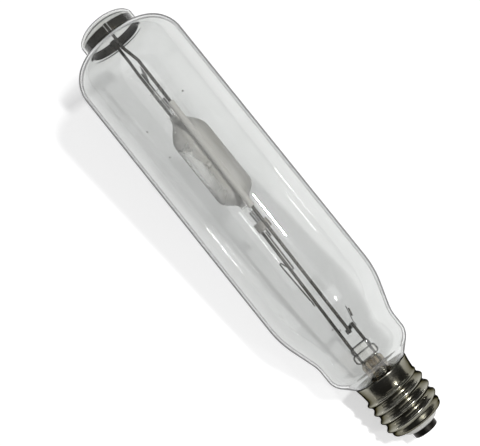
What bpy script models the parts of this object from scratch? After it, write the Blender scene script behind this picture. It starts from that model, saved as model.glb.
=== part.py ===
"""A tubular metal halide lamp with a large screw cap.

It stands cap down along +Z, with its origin in the middle of the centre contact's end face.
The frame's near rod is on the -Y side. Sizes are in metres.
"""

import math

import bmesh
import bpy
from mathutils import Matrix, Vector

MM = 0.001

# Clearances
SEAT_GAP = 0.3 * MM  # between a piece and what it rests on or is welded to
SLEEVE_CLEARANCE = 1.2 * MM  # between the arc tube and the white sleeve in front of it

# Cap, from the contact upwards
CONTACT_RADIUS = 8.2 * MM
CONTACT_HEIGHT = 3.7 * MM
CONTACT_SHEET = 0.6 * MM
CONTACT_EDGE = 0.9 * MM
INSULATOR_CONE = 4.3 * MM  # height of the pale cone that shows below the shell
INSULATOR_BACK = 5.0 * MM  # height of the insulator's disc inside the shell
INSULATOR_HOLE = 2.2 * MM
INSULATOR_LEDGE = 0.3 * MM  # of the cone's foot round the contact
INSULATOR_SWELL = 0.9 * MM  # how far the cone's side stands out from a straight one
INSULATOR_FILLET = 5.0 * MM
SHELL_LIP_RADIUS = 13.4 * MM
SHELL_SHEET = 0.4 * MM
SHELL_CORNER = 2.2 * MM
THREAD_ROOT = 17.8 * MM
THREAD_DEPTH = 1.85 * MM
THREAD_PITCH = 6.35 * MM
THREAD_TURNS = 4
THREAD_FADE = 2.6 * MM
COLLAR_HEIGHT = 8.8 * MM
COLLAR_FLARE = 1.2 * MM
CEMENT_WALL = 1.4 * MM  # between the shell and the bulb's neck

# Outer bulb
GLASS_WALL = 1.5 * MM
NECK_DEPTH = 17.7 * MM  # how far the neck reaches down into the shell
NECK_FILLET = 4.0 * MM
BASE_SLOPE = math.radians(44.5)  # of the cone that stands on the shell's rim, from level
BULGE_RADIUS = 29.1 * MM
BULGE_HEIGHT = 15.0 * MM
BULGE_FILLET = 12.0 * MM
WAIST_FILLET = 25.0 * MM
TAPER_HEIGHT = 27.0 * MM
TAPER_FILLET = 62.0 * MM
TUBE_RADIUS = 38.0 * MM
TUBE_LENGTH = 192.6 * MM
SHOULDER_RADIUS = 20.0 * MM
DOME_RADIUS = 19.6 * MM
DOME_FILLET = 1.2 * MM
DOME_SIDE = 6.0 * MM
DOME_CROWN = 8.8 * MM

# Stem
STEM_RADIUS = 7.7 * MM
STEM_WALL = 1.2 * MM
STEM_LENGTH = 13.6 * MM  # straight tube between the flare and the press
STEM_ROOF = 5.2 * MM  # rise of the tube's rounded end
ROOF_LAP = 1.3 * MM  # how far that end reaches into the press
FLARE_HEIGHT = 15.6 * MM
PRESS_SIZE = Vector((17.0, 5.8, 6.1)) * MM
HEAD_SIZE = Vector((12.6, 5.0, 5.4)) * MM
PRESS_EDGE = 1.6 * MM
EXHAUST_RADIUS = 2.5 * MM
EXHAUST_WALL = 0.8 * MM
EXHAUST_LENGTH = 31.0 * MM
EXHAUST_HOLE = 1.0 * MM

# Leads and frame
LEAD_SPACING = 10.2 * MM
LEAD_RADIUS = 1.0 * MM
LEAD_TAIL = 16.0 * MM  # below the press
LEFT_LEAD_BEND = 4.0 * MM  # above the stem's head
RIGHT_LEAD_RISE = 12.6 * MM  # above the stem's head
CAP_WIRE_RADIUS = 0.6 * MM
CAP_WIRE_BEND = 3.0 * MM
CAP_WIRE_DROP = 4.0 * MM  # the cap's wires turn aside this far below the neck's end
CAP_WIRE_RISE = 3.3 * MM  # their last turn or end is this far above the insulator
SHELL_WIRE_FALL = 3.0 * MM  # of the shell's wire on its way out
ROD_RADIUS = 1.0 * MM
ROD_FOOT_X = 1.1 * MM
ROD_SHOULDER_X = 3.9 * MM
ROD_SHOULDER_DROP = 26.5 * MM  # the bend of the rods, below the springs' middle
ROD_JOG = 11.0 * MM
ROD_BEND = 6.0 * MM
ROD_TIP = 0.4 * MM  # above the springs
RING_ROD_X = 1.5 * MM
FAR_ROD_X = -2.0 * MM
FAR_ROD_TAIL = 33.0 * MM  # below the upper strap
SLEEVE_RADIUS = 2.05 * MM
SLEEVE_TOP = 44.4 * MM  # above the light centre
SLEEVE_BOTTOM = 36.5 * MM  # below the light centre
SPRING_HEIGHT = 7.2 * MM
SPRING_SHEET = 0.4 * MM
SPRING_DROP = 1.6 * MM  # below the foot of the dome's straight side
CLIP_WIDTH = 4.6 * MM
CLIP_HEIGHT = 8.4 * MM
CLIP_CURL = 1.3 * MM
STRAP_HEIGHT = 5.6 * MM
STRAP_SHEET = 0.5 * MM
STRAP_RISE = 11.6 * MM  # its middle above the end of the upper pinch
CROSS_HEIGHT = 3.0 * MM
CROSS_SHEET = 0.6 * MM
STRIP_OVERHANG = 1.4 * MM
CLAMP_HEIGHT = 6.0 * MM
CLAMP_SHEET = 0.4 * MM
CLAMP_CORNER = 1.2 * MM

# Arc tube
LIGHT_DROP = 80.3 * MM  # of the arc tube's middle, below the top of the bulb's straight tube
ARC_RADIUS = 12.7 * MM
ARC_WALL = 1.6 * MM
ARC_STRAIGHT = 37.6 * MM
UPPER_SHOULDER = 18.6 * MM
LOWER_SHOULDER = 12.4 * MM
PINCH_LENGTH = 21.0 * MM
PINCH_WIDTH = 8.4 * MM
PINCH_THICKNESS = 5.2 * MM
PIP_RADIUS = 2.3 * MM
PIP_HEIGHT = 2.6 * MM
PIP_X = -2.4 * MM
FOIL_OFFSET = 6.5 * MM
FOIL_LENGTH = 8.0 * MM
FOIL_WIDTH = 4.0 * MM
FOIL_SHEET = 0.3 * MM
SHANK_RADIUS = 0.7 * MM
COIL_RADIUS = 1.7 * MM
COIL_TURNS = 4
COIL_PITCH = 1.6 * MM
COIL_LEAD = 1.3 * MM  # bare tip ahead of the coil
COIL_STANDOFF = 1.2 * MM  # between the coil and the end of the chamber
CHAMBER_SHARE = 0.72  # of a shoulder's length that the chamber reaches into
ARC_LEAD_RADIUS = 0.5 * MM
LOWER_LEAD_TAIL = 5.0 * MM
FLEX_RADIUS = 0.45 * MM
FLEX_START = 1.0 * MM  # below the lower pinch's end
FLEX_HOOK_DROP = 29.5 * MM  # lowest point of the hook, below the lower pinch's end
FLEX_HOOK_RISE = 7.2 * MM
FLEX_HOOK_X = -7.0 * MM
FLEX_CREST = 1.1 * MM  # width of the hook's upper turn
FLEX_LOOP_X = -1.8 * MM
FLEX_LOOP = 1.4 * MM  # width of the hook's lower turn
FLEX_BEND = 0.6 * MM
FLEX_SWEEP = 3.0 * MM
FLEX_TAIL_DROP = 23.5 * MM
FLEX_WELD = 3.0 * MM  # length that lies along the left lead-in

# Getter
GETTER_RADIUS = 2.6 * MM
GETTER_THICKNESS = 1.0 * MM
GETTER_STRIP_WIDTH = 2.6 * MM
GETTER_STRIP_SHEET = 0.4 * MM
GETTER_STRIP_RISE = 13.0 * MM
GETTER_STRIP_LEAN = 2.2 * MM

# Fineness of the meshes
BULB_SEGMENTS = 28
SHELL_SEGMENTS = 24
INSULATOR_SEGMENTS = 20
SMALL_SEGMENTS = 16
THREAD_ROWS = 6  # to each pitch
ARC_STEP = math.radians(15.0)

# Heights along the axis that several pieces share
INSULATOR_SEAT = CONTACT_HEIGHT + SEAT_GAP
LIP_Z = INSULATOR_SEAT + INSULATOR_CONE
INSULATOR_TOP = LIP_Z + SHELL_SHEET + INSULATOR_BACK
THREAD_BOTTOM = LIP_Z + SHELL_CORNER
THREAD_TOP = THREAD_BOTTOM + THREAD_TURNS * THREAD_PITCH
RIM_Z = THREAD_TOP + COLLAR_HEIGHT
RIM_RADIUS = THREAD_ROOT + COLLAR_FLARE
NECK_END = RIM_Z - NECK_DEPTH
NECK_RADIUS = THREAD_ROOT - SHELL_SHEET - CEMENT_WALL - 2 * SEAT_GAP
GLASS_AT_RIM = RIM_RADIUS - SHELL_SHEET - SEAT_GAP
NECK_TOP = RIM_Z - (GLASS_AT_RIM - NECK_RADIUS) * math.tan(BASE_SLOPE)
BULGE_BOTTOM = RIM_Z + (BULGE_RADIUS - GLASS_AT_RIM) * math.tan(BASE_SLOPE)
BULGE_TOP = BULGE_BOTTOM + BULGE_HEIGHT
TUBE_BOTTOM = BULGE_TOP + TAPER_HEIGHT
TUBE_TOP = TUBE_BOTTOM + TUBE_LENGTH
LIGHT_CENTRE = TUBE_TOP - LIGHT_DROP
SHOULDER_CENTRE = TUBE_RADIUS - SHOULDER_RADIUS
DOME_FOOT = TUBE_TOP + math.sqrt(
    (SHOULDER_RADIUS + DOME_FILLET) ** 2 - (DOME_RADIUS + DOME_FILLET - SHOULDER_CENTRE) ** 2
)
CROWN_Z = DOME_FOOT + DOME_SIDE
SPRING_BOTTOM = DOME_FOOT - SPRING_DROP
SPRING_TOP = SPRING_BOTTOM + SPRING_HEIGHT
SPRING_MIDDLE = (SPRING_BOTTOM + SPRING_TOP) / 2
FLARE_RIM = NECK_END - SEAT_GAP
STEM_FOOT = FLARE_RIM + FLARE_HEIGHT
PRESS_BOTTOM = STEM_FOOT + STEM_LENGTH
ROOF_Z = PRESS_BOTTOM + ROOF_LAP - STEM_ROOF
HEAD_BOTTOM = PRESS_BOTTOM + PRESS_SIZE.z
HEAD_TOP = HEAD_BOTTOM + HEAD_SIZE.z
UPPER_PINCH_END = LIGHT_CENTRE + ARC_STRAIGHT / 2 + UPPER_SHOULDER + PINCH_LENGTH
LOWER_PINCH_END = LIGHT_CENTRE - ARC_STRAIGHT / 2 - LOWER_SHOULDER - PINCH_LENGTH
STRAP_MIDDLE = UPPER_PINCH_END + STRAP_RISE
CROSS_TOP = HEAD_TOP + RIGHT_LEAD_RISE
CLAMP_BOTTOM = LOWER_PINCH_END + SEAT_GAP

# Distances from the axis that several pieces share
LEAD_X = LEAD_SPACING / 2
ROD_REACH = ARC_RADIUS + SLEEVE_CLEARANCE + SLEEVE_RADIUS
RING_INSIDE = DOME_RADIUS - GLASS_WALL
SPRING_RADIUS = RING_INSIDE - SEAT_GAP - SPRING_SHEET / 2
RING_ROD_RADIUS = RING_INSIDE - SEAT_GAP - ROD_RADIUS
RING_ROD_Y = math.sqrt(RING_ROD_RADIUS**2 - RING_ROD_X**2)
CLAMP_REACH = PINCH_THICKNESS / 2 + SEAT_GAP + CLAMP_SHEET
LEFT_LEAD_Y = CLAMP_REACH + SEAT_GAP + LEAD_RADIUS
LEFT_LEAD_TOP_X = -PINCH_WIDTH / 2 + LEAD_RADIUS


def new_collection(name):
    collection = bpy.data.collections.new(name)
    bpy.context.scene.collection.children.link(collection)
    return collection


def clear_scene():
    for obj in list(bpy.data.objects):
        bpy.data.objects.remove(obj, do_unlink=True)


clear_scene()
LAMP = new_collection("metal_halide_lamp")
CUTTERS = new_collection("cutters")
AXIS = bpy.data.objects.new("lamp_axis", None)
LAMP.objects.link(AXIS)


def material(name, colour, roughness, metallic=0.0, transmission=0.0):
    made = bpy.data.materials.new(name)
    made.use_nodes = True
    shader = made.node_tree.nodes["Principled BSDF"]
    shader.inputs["Base Color"].default_value = (*colour, 1.0)
    shader.inputs["Roughness"].default_value = roughness
    shader.inputs["Metallic"].default_value = metallic
    shader.inputs["Transmission Weight"].default_value = transmission
    made.diffuse_color = (*colour, 1.0 - 0.7 * transmission)
    return made


BULB_GLASS = material("bulb_glass", (0.95, 0.96, 0.95), 0.02, 0.0, 1.0)
STEM_GLASS = material("stem_glass", (0.86, 0.84, 0.80), 0.04, 0.0, 1.0)
QUARTZ = material("quartz", (0.93, 0.93, 0.91), 0.06, 0.0, 0.9)
PLATED_SHEET = material("plated_sheet", (0.62, 0.61, 0.56), 0.22, 1.0)
DARK_CONTACT = material("dark_contact", (0.16, 0.15, 0.14), 0.35, 1.0)
GLAZED_CERAMIC = material("glazed_ceramic", (0.72, 0.71, 0.66), 0.3)
CEMENT = material("cement", (0.42, 0.35, 0.25), 0.9)
WIRE_METAL = material("wire_metal", (0.42, 0.41, 0.39), 0.28, 1.0)
DARK_STRIP = material("dark_strip", (0.20, 0.19, 0.17), 0.35, 1.0)
WHITE_SLEEVE = material("white_sleeve", (0.88, 0.87, 0.83), 0.5)
TUNGSTEN = material("tungsten", (0.33, 0.33, 0.34), 0.4, 1.0)
MOLYBDENUM = material("molybdenum", (0.24, 0.23, 0.21), 0.35, 1.0)
COPPER_WIRE = material("copper_wire", (0.62, 0.36, 0.24), 0.35, 1.0)
GETTER_METAL = material("getter_metal", (0.15, 0.14, 0.13), 0.5, 1.0)


def add_object(name, data, made_of=None):
    """The object, in the lamp's collection if it has a material and among the cutters if not."""
    obj = bpy.data.objects.new(name, data)
    if made_of is None:
        CUTTERS.objects.link(obj)
        obj.hide_render = True
        obj.display_type = "WIRE"
    else:
        LAMP.objects.link(obj)
        data.materials.append(made_of)
    obj.parent = AXIS
    return obj


def mesh_from(name, build):
    """A mesh that the function build fills."""
    shape = bmesh.new()
    build(shape)
    data = bpy.data.meshes.new(name)
    shape.to_mesh(data)
    shape.free()
    return data


def smooth(obj, angle=40.0):
    obj.data.shade_smooth()
    obj.data.set_sharp_from_angle(angle=math.radians(angle))
    return obj


def at(x, y, z):
    return Vector((x, y, z))


def on_section(radius, z):
    """A point of a turned outline, which lies in the XZ plane."""
    return Vector((radius, 0.0, z))


def rounded(corners, step=ARC_STEP):
    """The points of a line through the corners, each a point and the radius of its bend."""
    points = [corners[0][0]]
    for (before, _), (corner, radius), (after, _) in zip(corners, corners[1:], corners[2:]):
        back = (before - corner).normalized()
        on = (after - corner).normalized()
        half = back.angle(on) / 2
        if radius <= 0 or math.cos(half) < 1e-4:
            points.append(corner)
            continue
        centre = corner + (back + on).normalized() * radius / math.sin(half)
        start = corner + back * radius / math.tan(half) - centre
        sweep = math.pi - 2 * half
        count = max(2, math.ceil(sweep / step))
        for i in range(count + 1):
            turn = Matrix.Rotation(sweep * i / count, 3, back.cross(on) * -1)
            points.append(centre + turn @ start)
    points.append(corners[-1][0])
    return points


def arc(centre, across, along, start, end, count):
    """Points of an ellipse in the XZ plane, by its half-axes and angles from +X in degrees."""
    points = []
    for i in range(count + 1):
        angle = math.radians(start + (end - start) * i / count)
        points.append(centre + on_section(across * math.cos(angle), along * math.sin(angle)))
    return points


def turned(name, outline, made_of, segments=SMALL_SEGMENTS, closed=False, wall=0.0):
    """A turned piece. Its outline runs down its outer side; a wall thickens an open one inwards."""

    def build(shape):
        rim = [shape.verts.new(point) for point in outline]
        for first, second in zip(rim, rim[1:] + rim[:1] if closed else rim[1:]):
            shape.edges.new((first, second))

    obj = add_object(name, mesh_from(name, build), made_of)
    screw = obj.modifiers.new("turn", "SCREW")
    screw.axis = "Z"
    screw.steps = segments
    screw.render_steps = segments
    screw.use_merge_vertices = True
    screw.merge_threshold = 1e-5
    screw.use_smooth_shade = True
    if wall:
        solidify = obj.modifiers.new("wall", "SOLIDIFY")
        solidify.thickness = wall
        solidify.offset = -1.0
        solidify.use_even_offset = True
    return obj


def wire(name, corners, radius, made_of):
    """A round wire or rod along the corners, each a point and the radius of its bend."""
    curve = bpy.data.curves.new(name, "CURVE")
    curve.dimensions = "3D"
    curve.bevel_depth = radius
    curve.bevel_resolution = 2
    curve.use_fill_caps = True
    points = rounded(corners, math.radians(30.0))
    spline = curve.splines.new("POLY")
    spline.points.add(len(points) - 1)
    for spot, point in zip(spline.points, points):
        spot.co = (*point, 1.0)
    return add_object(name, curve, made_of)


def strip(name, path, width, sheet, made_of, closed=False):
    """A bent strip: the path is one edge of it, and the vector width reaches the other."""

    def build(shape):
        low = [shape.verts.new(point) for point in path]
        high = [shape.verts.new(point + width) for point in path]
        count = len(path) if closed else len(path) - 1
        for i in range(count):
            j = (i + 1) % len(path)
            shape.faces.new((low[i], low[j], high[j], high[i]))

    obj = add_object(name, mesh_from(name, build), made_of)
    solidify = obj.modifiers.new("sheet", "SOLIDIFY")
    solidify.thickness = sheet
    solidify.offset = 0.0
    solidify.use_even_offset = True
    return smooth(obj)


def block(name, size, middle, edge, made_of=None):
    """A box with rounded edges."""

    def build(shape):
        bmesh.ops.create_cube(shape, size=1.0, matrix=Matrix.Diagonal((*size, 1.0)))

    obj = add_object(name, mesh_from(name, build), made_of)
    obj.location = middle
    if edge:
        bevel = obj.modifiers.new("edges", "BEVEL")
        bevel.width = edge
        bevel.segments = 2
    return obj


def drill(name, radius, start, end, segments=8):
    """A round cutter from start to end."""
    line = end - start

    def build(shape):
        bmesh.ops.create_cone(
            shape, cap_ends=True, segments=segments, radius1=radius, radius2=radius, depth=line.length
        )

    obj = add_object(name, mesh_from(name, build))
    obj.location = (start + end) / 2
    obj.rotation_euler = line.to_track_quat("Z", "Y").to_euler()
    return obj


def boolean(obj, other, operation):
    modifier = obj.modifiers.new(other.name, "BOOLEAN")
    modifier.operation = operation
    modifier.object = other
    modifier.solver = "EXACT"


def beside(start, end, z):
    """The point of the line from start to end at the height z."""
    return start.lerp(end, (z - start.z) / (end.z - start.z))


def bulb_outline():
    """The outer bulb from the tip of its dome down to the end of its neck."""
    crown = arc(on_section(0, CROWN_Z), DOME_RADIUS, DOME_CROWN, 90, 0, 4)
    fillet_centre = on_section(DOME_RADIUS + DOME_FILLET, DOME_FOOT)
    shoulder_centre = on_section(SHOULDER_CENTRE, TUBE_TOP)
    between = fillet_centre - shoulder_centre
    meeting = math.degrees(math.atan2(between.z, between.x))
    fillet = arc(fillet_centre, DOME_FILLET, DOME_FILLET, 180, 180 + meeting, 2)
    shoulder = arc(shoulder_centre, SHOULDER_RADIUS, SHOULDER_RADIUS, meeting, 0, 5)
    foot = rounded(
        [
            (on_section(TUBE_RADIUS, TUBE_TOP), 0),
            (on_section(TUBE_RADIUS, TUBE_BOTTOM), TAPER_FILLET),
            (on_section(BULGE_RADIUS, BULGE_TOP), WAIST_FILLET),
            (on_section(BULGE_RADIUS, BULGE_BOTTOM), BULGE_FILLET),
            (on_section(NECK_RADIUS, NECK_TOP), NECK_FILLET),
            (on_section(NECK_RADIUS, NECK_END), 0),
        ],
        math.radians(18.0),
    )
    return crown + fillet + shoulder[1:] + foot[1:]


def outer_bulb():
    turned("outer_bulb", bulb_outline(), BULB_GLASS, BULB_SEGMENTS, wall=GLASS_WALL)


def thread_height(z, angle):
    """How far the rolled thread stands out at this height and angle: a round crest, a wide root."""
    phase = (z - THREAD_BOTTOM) / THREAD_PITCH - angle / (2 * math.pi)
    crest = (0.5 + 0.5 * math.cos(2 * math.pi * phase)) ** 1.4
    inside = min(z - THREAD_BOTTOM, THREAD_TOP - z) / THREAD_FADE
    fade = max(0.0, min(1.0, inside))
    return THREAD_DEPTH * crest * fade * fade * (3 - 2 * fade)


def cap_shell():
    """The shell is a drawn cup whose side is then rolled into the thread."""
    collar = [
        on_section(THREAD_ROOT + COLLAR_FLARE * (i / 3) ** 1.5, THREAD_TOP + COLLAR_HEIGHT * i / 3)
        for i in (3, 2, 1)
    ]
    rows = THREAD_TURNS * THREAD_ROWS
    side = [
        on_section(THREAD_ROOT, THREAD_TOP - (THREAD_TOP - THREAD_BOTTOM) * i / rows)
        for i in range(rows)
    ]
    foot = rounded(
        [
            (on_section(THREAD_ROOT, THREAD_BOTTOM), 0),
            (on_section(THREAD_ROOT, LIP_Z), SHELL_CORNER * 0.95),
            (on_section(SHELL_LIP_RADIUS, LIP_Z), 0),
        ],
        math.radians(30.0),
    )
    outline = collar + side + foot

    def build(shape):
        columns = []
        for j in range(SHELL_SEGMENTS):
            angle = 2 * math.pi * j / SHELL_SEGMENTS
            column = []
            for point in outline:
                radius = point.x + thread_height(point.z, angle)
                column.append(
                    shape.verts.new((radius * math.cos(angle), radius * math.sin(angle), point.z))
                )
            columns.append(column)
        for left, right in zip(columns, columns[1:] + columns[:1]):
            for upper in range(len(outline) - 1):
                shape.faces.new((left[upper], left[upper + 1], right[upper + 1], right[upper]))

    obj = add_object("cap_shell", mesh_from("cap_shell", build), PLATED_SHEET)
    sheet = obj.modifiers.new("sheet", "SOLIDIFY")
    sheet.thickness = SHELL_SHEET
    sheet.offset = -1.0
    sheet.use_even_offset = True
    smooth(obj, 60.0)


def cap_insulator():
    inside = THREAD_ROOT - SHELL_SHEET - SEAT_GAP
    rest = LIP_Z + SHELL_SHEET + SEAT_GAP
    neck = SHELL_LIP_RADIUS - SEAT_GAP
    foot = CONTACT_RADIUS + INSULATOR_LEDGE
    outline = [
        on_section(INSULATOR_HOLE, INSULATOR_TOP),
        on_section(inside, INSULATOR_TOP),
        on_section(inside, rest + SHELL_CORNER),
        on_section(inside - SHELL_CORNER, rest),
        on_section(neck, rest),
        on_section(neck, LIP_Z),
    ]
    belly = on_section((neck + foot) / 2 + INSULATOR_SWELL, INSULATOR_SEAT + INSULATOR_CONE / 4)
    side = [
        (on_section(neck, LIP_Z), 0),
        (belly, INSULATOR_FILLET),
        (on_section(foot, INSULATOR_SEAT), 0),
    ]
    outline += rounded(side, math.radians(15.0))[1:]
    outline.append(on_section(INSULATOR_HOLE, INSULATOR_SEAT))
    turned("cap_insulator", outline, GLAZED_CERAMIC, INSULATOR_SEGMENTS, closed=True)


def centre_contact():
    """A pressed button, open towards the insulator."""
    inner = CONTACT_RADIUS - CONTACT_SHEET
    outline = rounded(
        [
            (on_section(inner, CONTACT_HEIGHT), 0),
            (on_section(CONTACT_RADIUS, CONTACT_HEIGHT), 0),
            (on_section(CONTACT_RADIUS, 0), CONTACT_EDGE),
            (on_section(0, 0), 0),
        ],
        math.radians(30.0),
    )
    outline += [on_section(0, CONTACT_SHEET), on_section(inner, CONTACT_SHEET)]
    turned("centre_contact", outline, DARK_CONTACT, INSULATOR_SEGMENTS, closed=True)


def basing_cement():
    inner = NECK_RADIUS + SEAT_GAP
    outer = THREAD_ROOT - SHELL_SHEET - SEAT_GAP
    top = min(NECK_TOP - NECK_FILLET / 2, THREAD_TOP + COLLAR_HEIGHT / 2)
    outline = [
        on_section(inner, top),
        on_section(outer, top),
        on_section(outer, NECK_END),
        on_section(inner, NECK_END),
    ]
    turned("basing_cement", outline, CEMENT, closed=True)


def stem_glass():
    """The stem: a flare and a tube closed by a flat press, which carries the two lead-in rods."""
    roof = arc(on_section(0, ROOF_Z), STEM_RADIUS, STEM_ROOF, 90, 0, 4)
    mouth = NECK_RADIUS - GLASS_WALL - 2 * SEAT_GAP
    flare = arc(on_section(mouth, STEM_FOOT), mouth - STEM_RADIUS, FLARE_HEIGHT, 180, 270, 5)
    flare.append(on_section(NECK_RADIUS, FLARE_RIM))
    obj = turned("stem_glass", roof + flare, STEM_GLASS, SMALL_SEGMENTS, wall=STEM_WALL)
    press = block("press", PRESS_SIZE, at(0, 0, PRESS_BOTTOM + PRESS_SIZE.z / 2), PRESS_EDGE)
    lap = PRESS_EDGE
    head_size = HEAD_SIZE + at(0, 0, lap)
    head = block("head", head_size, at(0, 0, HEAD_TOP - head_size.z / 2), PRESS_EDGE * 0.9)
    boolean(obj, press, "UNION")
    boolean(obj, head, "UNION")
    low = STEM_FOOT
    for side, x in (("left", -LEAD_X), ("right", LEAD_X)):
        hole = drill(
            f"{side}_lead_hole", LEAD_RADIUS + SEAT_GAP, at(x, 0, low), at(x, 0, HEAD_TOP + low)
        )
        boolean(obj, hole, "DIFFERENCE")
    vent_z = PRESS_BOTTOM + PRESS_SIZE.z / 2
    up = drill("exhaust_up", EXHAUST_HOLE, at(0, 0, STEM_FOOT), at(0, 0, vent_z))
    out = drill("exhaust_out", EXHAUST_HOLE, at(0, -PRESS_SIZE.y, vent_z), at(0, PRESS_SIZE.y, vent_z))
    boolean(obj, up, "DIFFERENCE")
    boolean(obj, out, "DIFFERENCE")


def exhaust_tube():
    """The glass tube the bulb was pumped through, sealed off to a point at its lower end."""
    across = EXHAUST_RADIUS / (STEM_RADIUS - STEM_WALL)
    top = ROOF_Z + (STEM_ROOF - STEM_WALL) * math.sqrt(1 - across**2) - SEAT_GAP
    bottom = top - EXHAUST_LENGTH
    inner = EXHAUST_RADIUS - EXHAUST_WALL
    outline = [
        on_section(inner, top),
        on_section(EXHAUST_RADIUS, top),
        on_section(EXHAUST_RADIUS, bottom + 2 * EXHAUST_RADIUS),
        on_section(EXHAUST_WALL, bottom),
        on_section(0, bottom - EXHAUST_WALL / 2),
        on_section(0, bottom + 2 * EXHAUST_WALL),
        on_section(inner, bottom + 2 * EXHAUST_RADIUS + EXHAUST_WALL),
    ]
    turned("exhaust_tube", outline, STEM_GLASS, 12, closed=True)


def lead_in_rods():
    tail = PRESS_BOTTOM - LEAD_TAIL
    bend = at(-LEAD_X, 0, HEAD_TOP + LEFT_LEAD_BEND)
    meeting = at(LEFT_LEAD_TOP_X, LEFT_LEAD_Y, CLAMP_BOTTOM - CLAMP_HEIGHT / 2)
    left = [
        (at(-LEAD_X, 0, tail), 0),
        (bend, ROD_BEND),
        (meeting, ROD_BEND),
        (at(LEFT_LEAD_TOP_X, LEFT_LEAD_Y, CLAMP_BOTTOM + CLAMP_HEIGHT), 0),
    ]
    wire("lead_in_left", left, LEAD_RADIUS, WIRE_METAL)
    right = [(at(LEAD_X, 0, tail), 0), (at(LEAD_X, 0, CROSS_TOP), 0)]
    wire("lead_in_right", right, LEAD_RADIUS, WIRE_METAL)
    return bend, meeting, tail


def cap_wires(tail):
    """The soft wires that join the lead-in rods to the cap."""
    start = tail - SEAT_GAP
    turn = NECK_END - CAP_WIRE_DROP
    low = INSULATOR_TOP + CAP_WIRE_RISE
    contact = [
        (at(-LEAD_X, 0, start), 0),
        (at(-LEAD_X, 0, turn), CAP_WIRE_BEND),
        (at(0, 0, low), CAP_WIRE_BEND),
        (at(0, 0, CONTACT_SHEET + SEAT_GAP), 0),
    ]
    wire("contact_wire", contact, CAP_WIRE_RADIUS, COPPER_WIRE)
    reach = THREAD_ROOT - SHELL_SHEET - SEAT_GAP - CAP_WIRE_RADIUS
    shell = [
        (at(LEAD_X, 0, start), 0),
        (at(LEAD_X, 0, turn), CAP_WIRE_BEND),
        (at(reach, 0, turn - SHELL_WIRE_FALL), CAP_WIRE_BEND),
        (at(reach, 0, low), 0),
    ]
    wire("shell_wire", shell, CAP_WIRE_RADIUS, COPPER_WIRE)


def support_rods():
    """The two rods of the frame. Their upper ends stand between the ends of the dome's springs."""
    foot = at(ROD_FOOT_X, -ROD_REACH, CROSS_TOP - CROSS_HEIGHT)
    bend = SPRING_MIDDLE - ROD_SHOULDER_DROP
    shoulder = at(ROD_SHOULDER_X, -ROD_REACH, bend)
    near = [
        (foot, 0),
        (shoulder, ROD_BEND),
        (at(RING_ROD_X, -RING_ROD_Y, bend + ROD_JOG), ROD_BEND),
        (at(RING_ROD_X, -RING_ROD_Y, SPRING_TOP + ROD_TIP), 0),
    ]
    wire("near_support_rod", near, ROD_RADIUS, WIRE_METAL)
    far = [
        (at(FAR_ROD_X, ROD_REACH, STRAP_MIDDLE - FAR_ROD_TAIL), 0),
        (at(FAR_ROD_X, ROD_REACH, bend), ROD_BEND),
        (at(-RING_ROD_X, RING_ROD_Y, bend + ROD_JOG), ROD_BEND),
        (at(-RING_ROD_X, RING_ROD_Y, SPRING_TOP + ROD_TIP), 0),
    ]
    wire("far_support_rod", far, ROD_RADIUS, WIRE_METAL)
    return foot, shoulder


def insulating_sleeve(foot, shoulder):
    """A thick white tube that slides on the straight stretch of the near rod."""
    low = beside(foot, shoulder, LIGHT_CENTRE - SLEEVE_BOTTOM)
    high = beside(foot, shoulder, LIGHT_CENTRE + SLEEVE_TOP)
    length = (high - low).length
    bore = ROD_RADIUS + SEAT_GAP
    outline = [
        on_section(bore, length),
        on_section(SLEEVE_RADIUS, length),
        on_section(SLEEVE_RADIUS, 0),
        on_section(bore, 0),
    ]
    obj = turned("insulating_sleeve", outline, WHITE_SLEEVE, 16, closed=True)
    obj.location = low
    obj.rotation_euler = (high - low).to_track_quat("Z", "Y").to_euler()


def dome_springs():
    """Two half-round strips that press on the inside of the dome, one each side of the rods."""
    rod_angle = math.asin(RING_ROD_X / RING_ROD_RADIUS)
    clear = math.asin((ROD_RADIUS + SEAT_GAP) / RING_ROD_RADIUS)
    count = 14
    for side, start in (("right", -math.pi / 2 + rod_angle), ("left", math.pi / 2 + rod_angle)):
        path = []
        for i in range(count + 1):
            angle = start + clear + (math.pi - 2 * clear) * i / count
            path.append(
                at(SPRING_RADIUS * math.cos(angle), SPRING_RADIUS * math.sin(angle), SPRING_BOTTOM)
            )
        strip(f"dome_spring_{side}", path, at(0, 0, SPRING_HEIGHT), SPRING_SHEET, DARK_STRIP)


def spring_clip():
    """The plate that ties both springs to the far rod, on its inner side."""
    y = RING_ROD_Y - ROD_RADIUS - SEAT_GAP - SPRING_SHEET / 2
    half = CLIP_WIDTH / 2
    bottom = SPRING_MIDDLE - CLIP_HEIGHT / 2
    path = [
        at(-RING_ROD_X - half, y + CLIP_CURL, bottom),
        at(-RING_ROD_X - half * 0.5, y, bottom),
        at(-RING_ROD_X + half * 0.5, y, bottom),
        at(-RING_ROD_X + half, y + CLIP_CURL, bottom),
    ]
    strip("spring_clip", path, at(0, 0, CLIP_HEIGHT), SPRING_SHEET, DARK_STRIP)


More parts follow.
